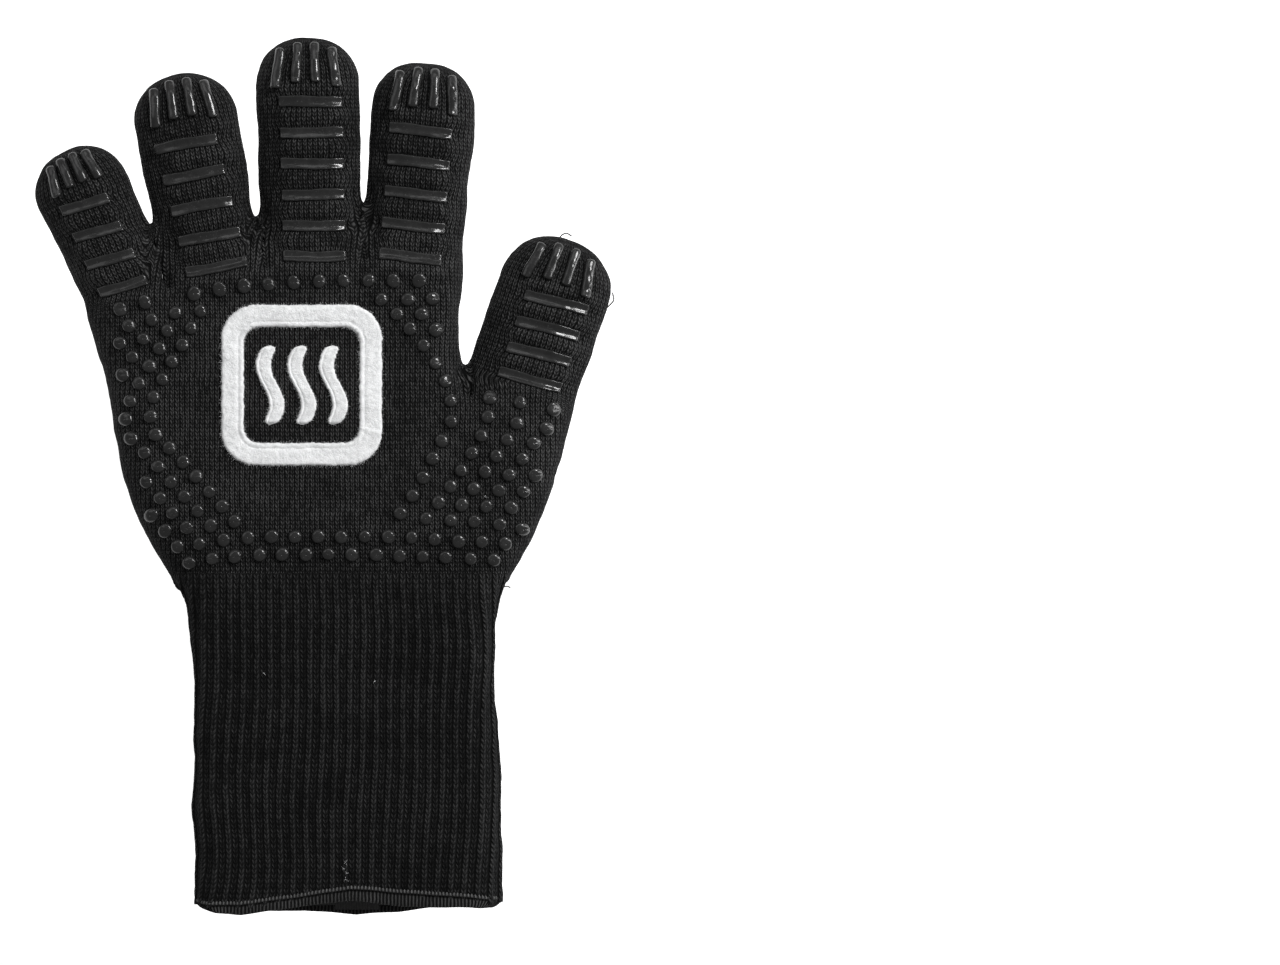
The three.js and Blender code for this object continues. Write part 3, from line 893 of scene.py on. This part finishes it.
def puffs(points, side_sign):
    """The knit swells between the bars and is held down under them."""
    total = np.zeros(len(points))
    for digit in digits:
        side, way = digit.local(points)
        places = bar_ways(digit)
        pitch = digit.pitch
        square = tilted_way(digit, side, way)
        phase = (square - places[0]) / pitch
        in_range = smoothstep(square, places[0] - pitch, places[0] - 0.4 * pitch)
        in_range = in_range * (1 - smoothstep(square, places[-1] + 0.35 * pitch, places[-1] + 0.8 * pitch))
        across = 1 - smoothstep(np.abs(side - digit.shift) - digit.bar / 2, -3, 3.5)
        wave = 0.5 - 0.5 * np.cos(2 * np.pi * phase)
        total += across * in_range * (2.4 * wave ** 0.8 - 0.7)
    return total * np.where(side_sign > 0, 1.0, 0.6)


def cuff_ribs(points, places):
    fade = 1 - smoothstep(points[:, 1], RIB_TOP_Y - 6, RIB_TOP_Y + 1)
    turn = 2 * np.pi * places[:, 0] / RIB_PITCH
    return fade * (RIB_DEPTH * np.cos(turn) + 0.12 * np.cos(2 * turn))


def groove(points, start, end, width):
    """How near plan points are to a line, from 1 on it to 0 well away from it."""
    start, end = np.array(start, float), np.array(end, float)
    offset = points[:, :2] - start
    line = end - start
    share = np.clip(offset @ line / (line @ line), 0, 1)
    distance = np.hypot(*(offset - share[:, None] * line).T)
    return np.exp(-(distance / width) ** 2)


def small_shape(points, normals):
    """How far the knit stands off the smooth skin."""
    x, y = points[:, 0], points[:, 1]
    upward = smoothstep(normals[:, 2], 0.1, 0.6)
    downward = smoothstep(-normals[:, 2], 0.1, 0.6)
    half_thick = np.maximum(np.abs(points[:, 2] - FLOOR_CLEARANCE - DIGIT_RISE) - 2, 0)
    places = knit_places(points)
    height = 0.34 * swell(points) * (1 - 0.35 * downward)
    height = height + 0.12 * ripple(points) + 0.045 * roughen(points)
    height += puffs(points, normals[:, 2]) * np.maximum(upward, downward)
    height += cuff_ribs(points, places)
    dimple = np.exp(-((x - 4) / 17) ** 2 - ((y + 9) / 6.5) ** 2)
    fold = np.exp(-((x + 24) / 9) ** 2 - ((y + 4 - 0.4 * (x + 24)) / 5) ** 2)
    height -= upward * (2.3 * dimple + 1.0 * fold)
    for start, end in CREASES:
        crease = 3.6 * groove(points, start, end, 2.1) + 1.1 * groove(points, start, end, 4.5)
        height -= np.maximum(upward, 0.7 * downward) * np.minimum(crease, 0.55 * half_thick)
    return height


def outward_of(points):
    return unit(-field.gradient(points))


def skin_height(plan, start, end, rounds):
    """Where the skin is over plan points, between a height inside it and one outside."""
    start = np.full(len(plan), float(start))
    return bisect(lambda z: field(np.column_stack([plan, z])) > 0, start, end + 0 * start, rounds)


def on_skin(plan, side):
    """Points and outward directions on the glove's back (1) or palm (-1) over plan points."""
    height = skin_height(plan, INSIDE_Z, INSIDE_Z + side * OUTSIDE_REACH, 22)
    points = np.column_stack([plan, height])
    normals = outward_of(points)
    return points + normals * small_shape(points, normals)[:, None], normals


# ---------------------------------------------------------------- the skin's mesh and its pieces

def hem_middle(x, back):
    """Where the middle of the hem lies along the cuff, on its front layer and on its back one."""
    front = np.interp(x, [-49, -43, -31.5, -20, -8, 10, 31, 46, 62, 67],
                      [-163.2, -164.2, -164.7, -163.0, -161.0, -158.8, -160.6, -161.1, -162.3, -162.6])
    behind = np.interp(x, [-49, -30, -18, -8, 12, 28, 40, 55, 67],
                       [-163.2, -164.2, -164.4, -164.0, -165.9, -164.6, -163.0, -163.0, -162.6])
    return front * (1 - back) + behind * back


def piece_numbers(centres):
    """For each face: 0 for the hand, 1 for the cuff, -1 past the hem, then two for each digit."""
    owner = np.argmax([d.field(centres) for d in digits], axis=0)
    number = np.zeros(len(centres), int)
    for index, digit in enumerate(digits):
        side, _ = digit.local(centres)
        crease_way = digit.crease_way(centres)
        mine = (owner == index) & (np.abs(side) < 1.15 * digit.half) & (crease_way > digit.hand_end - 1)
        number[mine] = 2 + 2 * index
        number[mine & (crease_way > digit.cut)] = 3 + 2 * index
    number[centres[:, 1] < RIB_TOP_Y] = 1
    below = (centres[:, 2] < FLOOR_CLEARANCE + CUFF_RISE).astype(float)
    number[centres[:, 1] < hem_middle(centres[:, 0], below)] = -1
    return number


def ride_on_hand(piece):
    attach(piece, "hand")


def bend_at_wrist(piece):
    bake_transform(piece)


def skin_parts():
    """Each piece of skin: its name, the CAD nodes of its knit and of its lining, and how it is placed."""
    yield "hand", ["hand_shell"], ["hand_liner"], ride_on_hand
    yield "cuff", ["wrist_band", "cuff_rib"], ["cuff_liner"], bend_at_wrist
    for digit in digits:
        name = digit.name
        liner = [f"{name}_liner"]
        yield f"{name}_root", [f"{name}_knuckle_sleeve", f"{name}_base_shell"], liner, digit.bend_root
        yield f"{name}_end", [f"{name}_middle_sleeve", f"{name}_tip_shell"], liner, digit.bend_end


def skin_piece(name, points, faces, normals, places, material):
    piece = add_piece(name, points, faces, material)
    add_knit_map(piece, places)
    piece.data.normals_split_custom_set_from_vertices([Vector(n) for n in normals])
    return piece


def make_skin(knit, cuff, lining):
    points, faces = surface_net(field, *NET_BOX, NET_STEP)
    points = relax(points, faces, 4, lambda p: field.settle(p, 1))
    fine, fine_faces = subdivided(points, faces)
    fine = field.settle(fine, 2)
    outward = outward_of(fine)
    places = knit_places(fine)
    fine = fine + outward * small_shape(fine, outward)[:, None]
    outward = outward_of(points)
    inner = points + outward * (np.minimum(small_shape(points, outward), 0) - LINING_DEPTH)[:, None]
    layers = {
        "knit": (fine, fine_faces, places, piece_numbers(fine[fine_faces].mean(1))),
        "lining": (inner, faces[:, ::-1], inner[:, :2], piece_numbers(points[faces].mean(1))),
    }
    normals = {slot: vertex_normals(layer[0], layer[1]) for slot, layer in layers.items()}
    for number, (name, shell, liner, bend) in enumerate(skin_parts()):
        materials = {"knit": cuff if name == "cuff" else knit, "lining": lining}
        for slot, nodes in (("knit", shell), ("lining", liner)):
            corners, quads, map_places, numbers = layers[slot]
            part, used = part_of(quads, numbers == number)
            piece = skin_piece(f"{slot}_{name}", corners[used], part, normals[slot][used], map_places[used],
                               materials[slot])
            bend(piece)
            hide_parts(*nodes)


# ---------------------------------------------------------------- silicone grips

def grid_faces(rows, columns):
    """A closed slab's faces: an upper grid, a lower one and the rim between them."""
    index = np.arange(rows * columns).reshape(rows, columns)
    top = np.stack([index[:-1, :-1], index[1:, :-1], index[1:, 1:], index[:-1, 1:]], -1).reshape(-1, 4)
    rim = np.concatenate([index[:-1, 0], index[-1, :-1], index[:0:-1, -1], index[0, :0:-1]])
    after = np.roll(rim, -1)
    count = rows * columns
    sides = np.stack([rim, rim + count, after + count, after], 1)
    return np.vstack([top, top[:, ::-1] + count, sides])


def slabs_on_skin(patches, side):
    """Closed slabs that lie on the skin, from pairs of a plan, rows x columns x 2, and its heights."""
    rows, columns = patches[0][1].shape
    base, normals = on_skin(np.concatenate([plan.reshape(-1, 2) for plan, _ in patches]), side)
    rise = np.concatenate([heights.ravel() for _, heights in patches])
    top = base + normals * rise[:, None]
    bottom = base - normals * GRIP_SINK
    if side < 0:
        # The palm's slabs end flat just over the floor, their rims a little higher.
        top[:, 2] = np.maximum(top[:, 2], 0.02 + 0.15 * (rise < 0.3))
    count = rows * columns
    points = np.stack([top.reshape(-1, count, 3), bottom.reshape(-1, count, 3)], 1).reshape(-1, 3)
    faces = grid_faces(rows, columns) + 2 * count * np.arange(len(patches))[:, None, None]
    faces = faces.reshape(-1, 4)
    return points, faces if side > 0 else faces[:, ::-1]


def rounded_bar(length, width, rise, corner, flatness, seed):
    """A bar's own plan (along it, across it) and its height over the skin."""
    random = np.random.default_rng(seed)
    share = np.linspace(-1, 1, BAR_GRID[0])
    along = np.sign(share) * (1 - (1 - np.abs(share)) ** 1.35) * length / 2
    across = np.sin(np.linspace(-1, 1, BAR_GRID[1]) * np.pi / 2)
    past = np.clip((np.abs(along) - (length / 2 - corner)) / corner, 0, 1)
    half = (width / 2 - corner) + np.sqrt(1 - past ** 2) * corner
    half = half * (1 + 0.035 * np.sin(along * 0.55 + random.uniform(0, 6)) + 0.02 * np.sin(along * 1.7))
    bow = 0.22 * np.sin(along * 0.21 + random.uniform(0, 6))
    plan = np.stack([
        np.repeat(along[:, None], len(across), 1),
        half[:, None] * across[None, :] + bow[:, None],
    ], -1)
    from_end = np.clip((length / 2 - np.abs(along)) / 0.9, 0, 1)
    end = np.sqrt(1 - (1 - from_end) ** 2)
    dome = (1 - np.abs(across) ** flatness) ** 0.5
    uneven = 1 + 0.06 * np.sin(along * 0.8 + random.uniform(0, 6))
    height = rise * uneven[:, None] * end[:, None] * dome[None, :]
    return plan, height


def bar_patch(digit, way, seed):
    plan, height = rounded_bar(digit.bar, BAR_WIDTH, BAR_RISE, 1.0, 6.5, seed)
    slope = math.tan(math.radians(digit.slope))
    local_side = digit.shift + digit.drift * (way - digit.first) + plan[..., 0]
    local_way = way - slope * plan[..., 0] + plan[..., 1]
    return digit.plan_of(local_side, local_way), height


def rib_patches(digit, seed):
    patches = []
    length = digit.rib
    for index in range(TIP_RIBS):
        offset = (index - (TIP_RIBS - 1) / 2) * digit.rib_pitch
        drop = digit.cap * (1 - (1 - min(0.97, abs(offset) / digit.half) ** 2.25) ** (1 / 2.1))
        top = digit.length - 2.4 - 0.75 * drop
        plan, height = rounded_bar(length, RIB_WIDTH, BAR_RISE + 0.6, 1.4, 2.4, seed + index)
        splay = 1 - 0.16 * smoothstep(plan[..., 0], -length / 2, length / 2)
        local_side = offset * splay - plan[..., 1]
        local_way = top - length / 2 + plan[..., 0]
        patches.append((digit.plan_of(local_side, local_way), height))
    return patches


def dot_patches(strings, seed):
    """Flat-topped domes, each a small polar grid closed round on itself."""
    random = np.random.default_rng(seed)
    rings = np.sin(np.linspace(0, 1, DOT_RINGS) * np.pi / 2)
    rings[0] = 0.02
    angles = np.linspace(0, 2 * np.pi, DOT_ANGLES)
    ways = np.stack([np.cos(angles), np.sin(angles)], 1)
    patches = []
    for count, *points in strings:
        for place in spline(points, count):
            place = place + random.normal(0, 0.16, 2)
            radius = DOT_RADIUS * random.uniform(0.94, 1.04)
            wobble = 1 + 0.03 * np.sin(2 * angles + random.uniform(0, 6))
            reach = radius * wobble[:, None] * rings[None, :]
            dome = (1 - (rings * 0.99) ** 3.4) ** 0.55 * DOT_RISE * random.uniform(0.92, 1.05)
            heights = np.repeat(dome[None, :], len(angles), 0)
            patches.append((place + ways[:, None] * reach[..., None], heights))
    return patches


def make_grips(material):
    for side_name, side in SIDES.items():
        strings = DOT_STRINGS if side > 0 else PALM_DOT_STRINGS
        rows = [("dots", dot_patches(strings, SEED + 20 + side), ride_on_hand, f"{side_name}_dots")]
        for index, digit in enumerate(digits):
            name = digit.name
            seed = SEED + 100 * index + 30 + 10 * side
            bars = {"hand": [], "root": [], "end": []}
            for number, way in enumerate(bar_ways(digit)):
                crease_way = way * digit.along @ digit.crease
                zone = "hand" if crease_way < digit.hand_end else "root" if crease_way < digit.cut else "end"
                bars[zone].append(bar_patch(digit, way, seed + number))
            ribs = rib_patches(digit, seed + 50)
            rows += [
                (f"bar_{name}_knuckle", bars["hand"], ride_on_hand, f"{side_name}_dots"),
                (f"bars_{name}_root", bars["root"], digit.bend_root, f"{name}_{side_name}_bars"),
                (f"bars_{name}_end", bars["end"], digit.bend_end, f"{name}_{side_name}_bars"),
                (f"ribs_{name}_tip", ribs, digit.bend_end, f"{name}_{side_name}_tip_ribs"),
            ]
        for name, patches, bend, node in rows:
            if patches:
                points, faces = slabs_on_skin(patches, side)
                piece = add_piece(f"{name}_{side_name}", points, faces, material, merge=MERGE)
                bend(piece)
                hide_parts(node)


# ---------------------------------------------------------------- badge, hem, label and loose yarn

def rounded_square_ring(half, corner, per_corner=26, per_side=40):
    """Points round a square with round corners, anticlockwise, equally many at any size."""
    points = []
    for quarter in range(4):
        angle = quarter * math.pi / 2
        turn = np.array([[math.cos(angle), -math.sin(angle)], [math.sin(angle), math.cos(angle)]])
        side = np.linspace(corner - half, half - corner, per_side)[:-1]
        side = np.stack([np.full(len(side), half), side], 1)
        arc = np.linspace(0, np.pi / 2, per_corner)[:-1]
        arc = np.stack([half - corner + corner * np.cos(arc), half - corner + corner * np.sin(arc)], 1)
        points += [side @ turn.T, arc @ turn.T]
    return np.vstack(points)


def felt_strip(inner, outer, closed, seed):
    """A felt strip between two lines: its plan and its height, thick in the middle, with rough edges."""
    random = np.random.default_rng(seed)
    shares = np.array([0, 0.02, 0.05, 0.1, 0.16, 0.2, 0.24, 0.28, 0.33, 0.45, 0.6, 0.74, 0.86, 0.93, 0.97, 1])
    edge = np.clip(np.minimum(shares, 1 - shares) / 0.1, 0, 1)
    stitching = 0.22 * np.exp(-((shares - 0.24) / 0.05) ** 2)
    profile = np.sqrt(1 - (1 - edge) ** 2) - stitching
    across = outer - inner
    fray = random.normal(0, 0.13, (len(inner), 2))
    ragged = shares * fray[:, 1:] - (1 - shares) * fray[:, :1]
    plan = inner[:, None] + shares[:, None] * across[:, None] + ragged[..., None] * unit(across)[:, None]
    height = BADGE_RISE * profile * (1 + random.normal(0, 0.03, (len(inner), len(shares))))
    if closed:
        plan = np.vstack([plan, plan[:1]])
        height = np.vstack([height, height[:1]])
    return plan, height


def tube_faces(near, far):
    """Quads between rings of numbered points."""
    return np.stack([near, np.roll(near, -1, -1), np.roll(far, -1, -1), far], -1).reshape(-1, 4)


def circles(ways, toward, count):
    """A unit circle of points square to each way."""
    first = unit(np.cross(ways, toward))
    angles = (np.arange(count) * 2 * np.pi / count)[None, :, None]
    return np.cos(angles) * first[:, None] + np.sin(angles) * np.cross(ways, first)[:, None]


def fibres(roots, directions, lengths, radius, seed):
    """Short fine hairs, each a thin curling three-sided tube."""
    random = np.random.default_rng(seed)
    count = len(roots)
    steps = np.linspace(0, 1, 5)
    curl = random.normal(0, 0.5, (count, 3))
    bowed = steps[:, None] * directions[:, None] + (steps ** 2)[:, None] * curl[:, None]
    lines = roots[:, None] + bowed * lengths[:, None, None]
    ring = circles(unit(directions), [0.3, 0.2, 0.93], 3)
    taper = radius * (1 - 0.6 * steps)
    points = lines[:, :, None] + taper[:, None, None] * ring[:, None]
    index = np.arange(count * 15).reshape(count, 5, 3)
    return points.reshape(-1, 3), tube_faces(index[:, :-1], index[:, 1:])


def edge_hairs(name, lines, material, seed, per_mm=9):
    """Hairs along the edges of the felt. Each line is (plan points, way out of the felt)."""
    random = np.random.default_rng(seed)
    roots = []
    ways = []
    for line, out in lines:
        length = np.linalg.norm(np.diff(line, axis=0), axis=1).sum()
        pick = random.integers(0, len(line), int(length * per_mm))
        roots.append(line[pick] - out[pick] * random.uniform(0, 0.5, (len(pick), 1)))
        ways.append(out[pick] + random.normal(0, 0.55, (len(pick), 2)))
    roots = np.vstack(roots)
    ways = np.vstack(ways)
    base, normals = on_skin(roots, 1)
    base = base + normals * random.uniform(0.15, 0.9, (len(base), 1))
    ways = np.column_stack([ways, random.uniform(-0.1, 0.35, len(ways))])
    points, faces = fibres(base, ways, random.uniform(0.2, 0.65, len(base)), 0.035, seed + 1)
    add_piece(name, points, faces, material, "hand")


def felt_piece(name, plan, height, material, node):
    points, faces = slabs_on_skin([(plan, height)], 1)
    add_piece(name, points, faces, material, "hand", node, MERGE)


def make_badge(material):
    centre = np.array(BADGE_CENTRE)
    outer = centre + rounded_square_ring(BADGE_HALF, BADGE_CORNERS[0])
    inner = centre + rounded_square_ring(BADGE_HALF - BADGE_BAND, BADGE_CORNERS[1])
    felt_piece("badge_felt_frame", *felt_strip(inner, outer, True, SEED + 31), material, "badge_frame")
    away = unit(outer - inner)
    lines = [(outer, away), (inner, -away)]
    share = np.linspace(0, 1, 74)
    past_straight = np.clip((np.abs(share - 0.5) - 0.43) / 0.07, 0, 1)
    half = WAVE_HALF * np.sqrt(np.clip(1 - past_straight ** 2, 0.02, 1))
    y = centre[1] + (share - 0.5) * WAVE_TALL
    sideways = np.repeat([[1.0, 0.0]], len(share), 0)
    for index, name in enumerate(("left", "middle", "right")):
        x = centre[0] + (index - 1) * WAVE_PITCH + WAVE_SWING * np.sin(share * 2 * np.pi)
        left, right = np.stack([x - half, y], 1), np.stack([x + half, y], 1)
        plan, height = felt_strip(left, right, False, SEED + 40 + index)
        height *= np.clip(np.minimum(share, 1 - share) / 0.03, 0, 1)[:, None]
        felt_piece(f"badge_felt_wave_{name}", plan, height, material, f"heat_wave_{name}")
        lines += [(right, sideways), (left, -sideways)]
    edge_hairs("badge_felt_hairs", lines, material, SEED + 50)


def cuff_section(y, count):
    """Evenly spaced points round the cuff's skin at y, and the ways out of it."""
    centre = np.array([CUFF_MIDDLE_X, y, FLOOR_CLEARANCE + CUFF_RISE])
    angles = np.linspace(0, 2 * np.pi, 721)[:-1]
    ways = unit(np.stack([np.cos(angles) * 58, 0 * angles, np.sin(angles) * CUFF_RISE], 1))
    reach = bisect(lambda far: field(centre + ways * far[:, None]) > 0, 0 * angles, 75 + 0 * angles, 24)
    ring = spline(centre + ways * reach[:, None], count + 1, closed=True)[:-1]
    return ring, unit(outward_of(ring) * [1, 0, 1])


def make_hem(material):
    """A bound edge: fine upright stitches, with a row of loops along its upper edge."""
    count = HEM_POINTS_ALONG
    ring, out = cuff_section(-160, count)
    from_middle = ring[:, 0] - CUFF_MIDDLE_X
    step = np.linalg.norm(np.roll(ring, -1, 0) - ring, axis=1)
    along = np.concatenate([[0], np.cumsum(step)[:-1]])
    stitches = round(step.sum() / HEM_STITCH)
    phase = 2 * np.pi * stitches * along / step.sum()
    back = 1 - smoothstep(ring[:, 2], FLOOR_CLEARANCE + 4, FLOOR_CLEARANCE + 2 * CUFF_RISE - 4)
    middle = hem_middle(ring[:, 0], back)
    middle += 0.18 * np.sin(along / 7.3) + 0.1 * np.sin(along / 2.9 + 1)
    tall = np.interp(ring[:, 0], [-49, -43, -31, -8, 10, 31, 46, 62, 67],
                     [4.2, 4.2, 5.2, 5.0, 5.6, 6.4, 5.8, 4.8, 4.4])
    tall = tall * (1 - back) + 4.8 * back
    angles = np.linspace(0, 2 * np.pi, HEM_POINTS_ROUND + 1)[:-1]
    circle = np.array([np.cos(angles), np.sin(angles)])
    wide, high = np.sign(circle) * np.abs(circle) ** 0.55
    outward = -0.35 + 1.1 * wide[None, :]
    upward = high[None, :] * tall[:, None] / 2
    outer_side = smoothstep(wide, -0.2, 0.8)[None, :]
    upright = 0.24 * np.cos(phase)[:, None] * outer_side * (1 - np.abs(high[None, :]) ** 6)
    sides = smoothstep(np.abs(from_middle), 48, 58)[:, None]
    bead = np.exp(-((upward - tall[:, None] / 2 + 0.7) / 0.5) ** 2)
    dip = np.exp(-((upward - tall[:, None] / 2 + 1.6) / 0.35) ** 2)
    loops = (0.65 + 0.45 * np.cos(phase + np.pi)[:, None]) * bead * outer_side * (1 - 0.85 * sides)
    outward = outward + upright + loops - 0.45 * dip * outer_side - 0.9 * sides
    upward = upward + 0.22 * np.cos(phase + np.pi)[:, None] * smoothstep(high, 0.6, 1)[None, :]
    points = ring[:, None] + out[:, None] * outward[..., None]
    points[..., 1] = middle[:, None] + upward
    below = np.clip(0.5 - upward / tall[:, None], 0, 1)
    far_out = np.sign(from_middle) * smoothstep(np.abs(from_middle), 46, 58)
    points[..., 0] -= far_out[:, None] * 3.4 * below ** 2.2
    points[..., 2] = np.maximum(points[..., 2], 0.05)
    index = np.arange(count * HEM_POINTS_ROUND).reshape(count, HEM_POINTS_ROUND)
    faces = tube_faces(np.roll(index, -1, 0), index)
    points = points.reshape(-1, 3)
    hem = add_piece("knit_hem", points, faces, material, "cuff", "cuff_hem", MERGE_FINE)
    stitch_number = np.repeat(phase[:, None] / (2 * np.pi), HEM_POINTS_ROUND, 1)
    under_edge = tall[:, None] / 2 - upward
    add_knit_map(hem, np.stack([stitch_number.ravel(), under_edge.ravel()], 1))


def label_height(plan):
    """The middle of the waving care label over the lining."""
    x, y = plan.T
    wave = 0.3 * np.sin(x * 0.35) * np.cos(y * 0.22) + 0.12 * np.sin(x * 1.3)
    floor = skin_height(plan, FLOOR_CLEARANCE + CUFF_RISE, -1, 20) + LINING_DEPTH
    return floor + LABEL_RISE + wave


def label_slab(across, along, above, below):
    """A grid over the lining: points at two heights against the label's middle, and faces."""
    plan = np.stack(np.meshgrid(across, along, indexing="ij"), -1).reshape(-1, 2)
    middle = label_height(plan)
    points = np.vstack([np.column_stack([plan, middle + height]) for height in (above, below)])
    return points, grid_faces(len(across), len(along))


def make_label(material, ink):
    low, high = (np.array(corner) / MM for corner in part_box("care_label"))
    across = np.linspace(low[0], high[0], 60)
    along = np.linspace(low[1], high[1], 26)
    points, faces = label_slab(across, along, LABEL_HALF_THICK, -LABEL_HALF_THICK)
    add_piece("care_label_satin", points, faces, material, "cuff", "care_label", MERGE_FINE)
    points = []
    faces = []
    random = np.random.default_rng(SEED + 70)
    for row in np.linspace(low[1] + 3, high[1] - 3, MARK_ROWS):
        start = low[0] + 4
        while start < high[0] - 6:
            length = random.uniform(*MARK_LENGTHS)
            across = np.linspace(start, min(start + length, high[0] - 4), 6)
            mark, mark_faces = label_slab(across, (row - MARK_HALF, row + MARK_HALF), 0.3, 0.1)
            faces.append(mark_faces + len(points) * len(mark))
            points.append(mark)
            start += length + MARK_GAP
    add_piece("care_label_marks", np.vstack(points), np.vstack(faces), ink, "cuff")


def yarn_tube(points, radius, count=40):
    line = spline(points, count)
    thick = radius * (1 + 0.15 * np.sin(np.arange(count) * 1.3))
    ring = circles(unit(np.gradient(line, axis=0)), [0.2, 0.3, 0.93], 8)
    tube = line[:, None] + thick[:, None, None] * ring
    index = np.arange(count * 8).reshape(count, 8)
    return tube.reshape(-1, 3), tube_faces(index[:-1], index[1:])


def make_loose_yarn(material):
    for name, (body, points) in YARN_ENDS.items():
        tube, faces = yarn_tube(points, YARN_RADIUS)
        add_piece(f"yarn_end_{name}", tube, faces, material, body)


def make_lint(material):
    random = np.random.default_rng(SEED + 80)
    base, normals = on_skin(np.array(LINT), 1)
    base = np.repeat(base + normals * 0.35, 5, 0)
    base = base + random.normal(0, 0.3, base.shape) * [1, 1, 0.2]
    ways = random.normal(0, 1, (len(base), 3)) * [1, 1, 0.15]
    on_cuff = base[:, 1] < RIB_TOP_Y - 14
    groups = {"cuff": on_cuff, "hand": (~on_cuff) & (base[:, 1] < 70) & (base[:, 0] < 66)}
    for body, chosen in groups.items():
        lengths = random.uniform(0.3, 0.8, chosen.sum())
        points, faces = fibres(base[chosen], ways[chosen], lengths, 0.05, SEED + 81)
        add_piece(f"lint_{body}", points, faces, material, body)


# ---------------------------------------------------------------- stage, light and camera

def area_light(name, place, target, size, size_y, power):
    light = bpy.data.lights.new(name, "AREA")
    light.shape = "RECTANGLE"
    light.size = size
    light.size_y = size_y
    light.energy = power
    lamp = new_object(name, light)
    lamp.location = place
    lamp.rotation_euler = (Vector(target) - Vector(place)).to_track_quat("-Z", "Y").to_euler()


def make_stage():
    corners = np.array([[-1, -1], [1, -1], [1, 1], [-1, 1]]) * FLOOR_HALF
    floor = new_mesh("floor", np.column_stack([corners, [FLOOR_Z] * 4]), [[0, 1, 2, 3]], smooth=False)
    floor.data.materials.append(floor_material())
    world = bpy.data.worlds.new("studio")
    bpy.context.scene.world = world
    world.use_nodes = True
    back = world.node_tree.nodes["Background"]
    back.inputs["Color"].default_value = (1, 1, 1, 1)
    back.inputs["Strength"].default_value = WORLD_STRENGTH
    for name, facts in LIGHTS.items():
        area_light(name, *facts)


def make_camera():
    lens = bpy.data.cameras.new("camera")
    lens.sensor_width = SENSOR
    lens.lens = SENSOR * CAMERA_HEIGHT / VIEW_WIDTH
    lens.clip_start = 0.05
    lens.clip_end = 20
    camera = new_object("camera", lens)
    camera.location = Vector((*VIEW_CENTRE, CAMERA_HEIGHT + GLOVE_LEVEL)) * MM
    bpy.context.scene.camera = camera


bpy.context.scene.view_settings.view_transform = "Standard"
make_skin(
    knit_material("knit_shell", WALE, COURSE, grey(0.0012), grey(0.060)),
    knit_material("knit_cuff", RIB_PITCH / 2, CUFF_COURSE, grey(0.0026), grey(0.031), ribbed=True),
    lining_material(),
)
make_grips(silicone_material())
felt = felt_material()
make_badge(felt)
make_hem(binding_material())
make_label(label_material(), print_material())
make_loose_yarn(thread_material())
make_lint(felt)
make_stage()
make_camera()
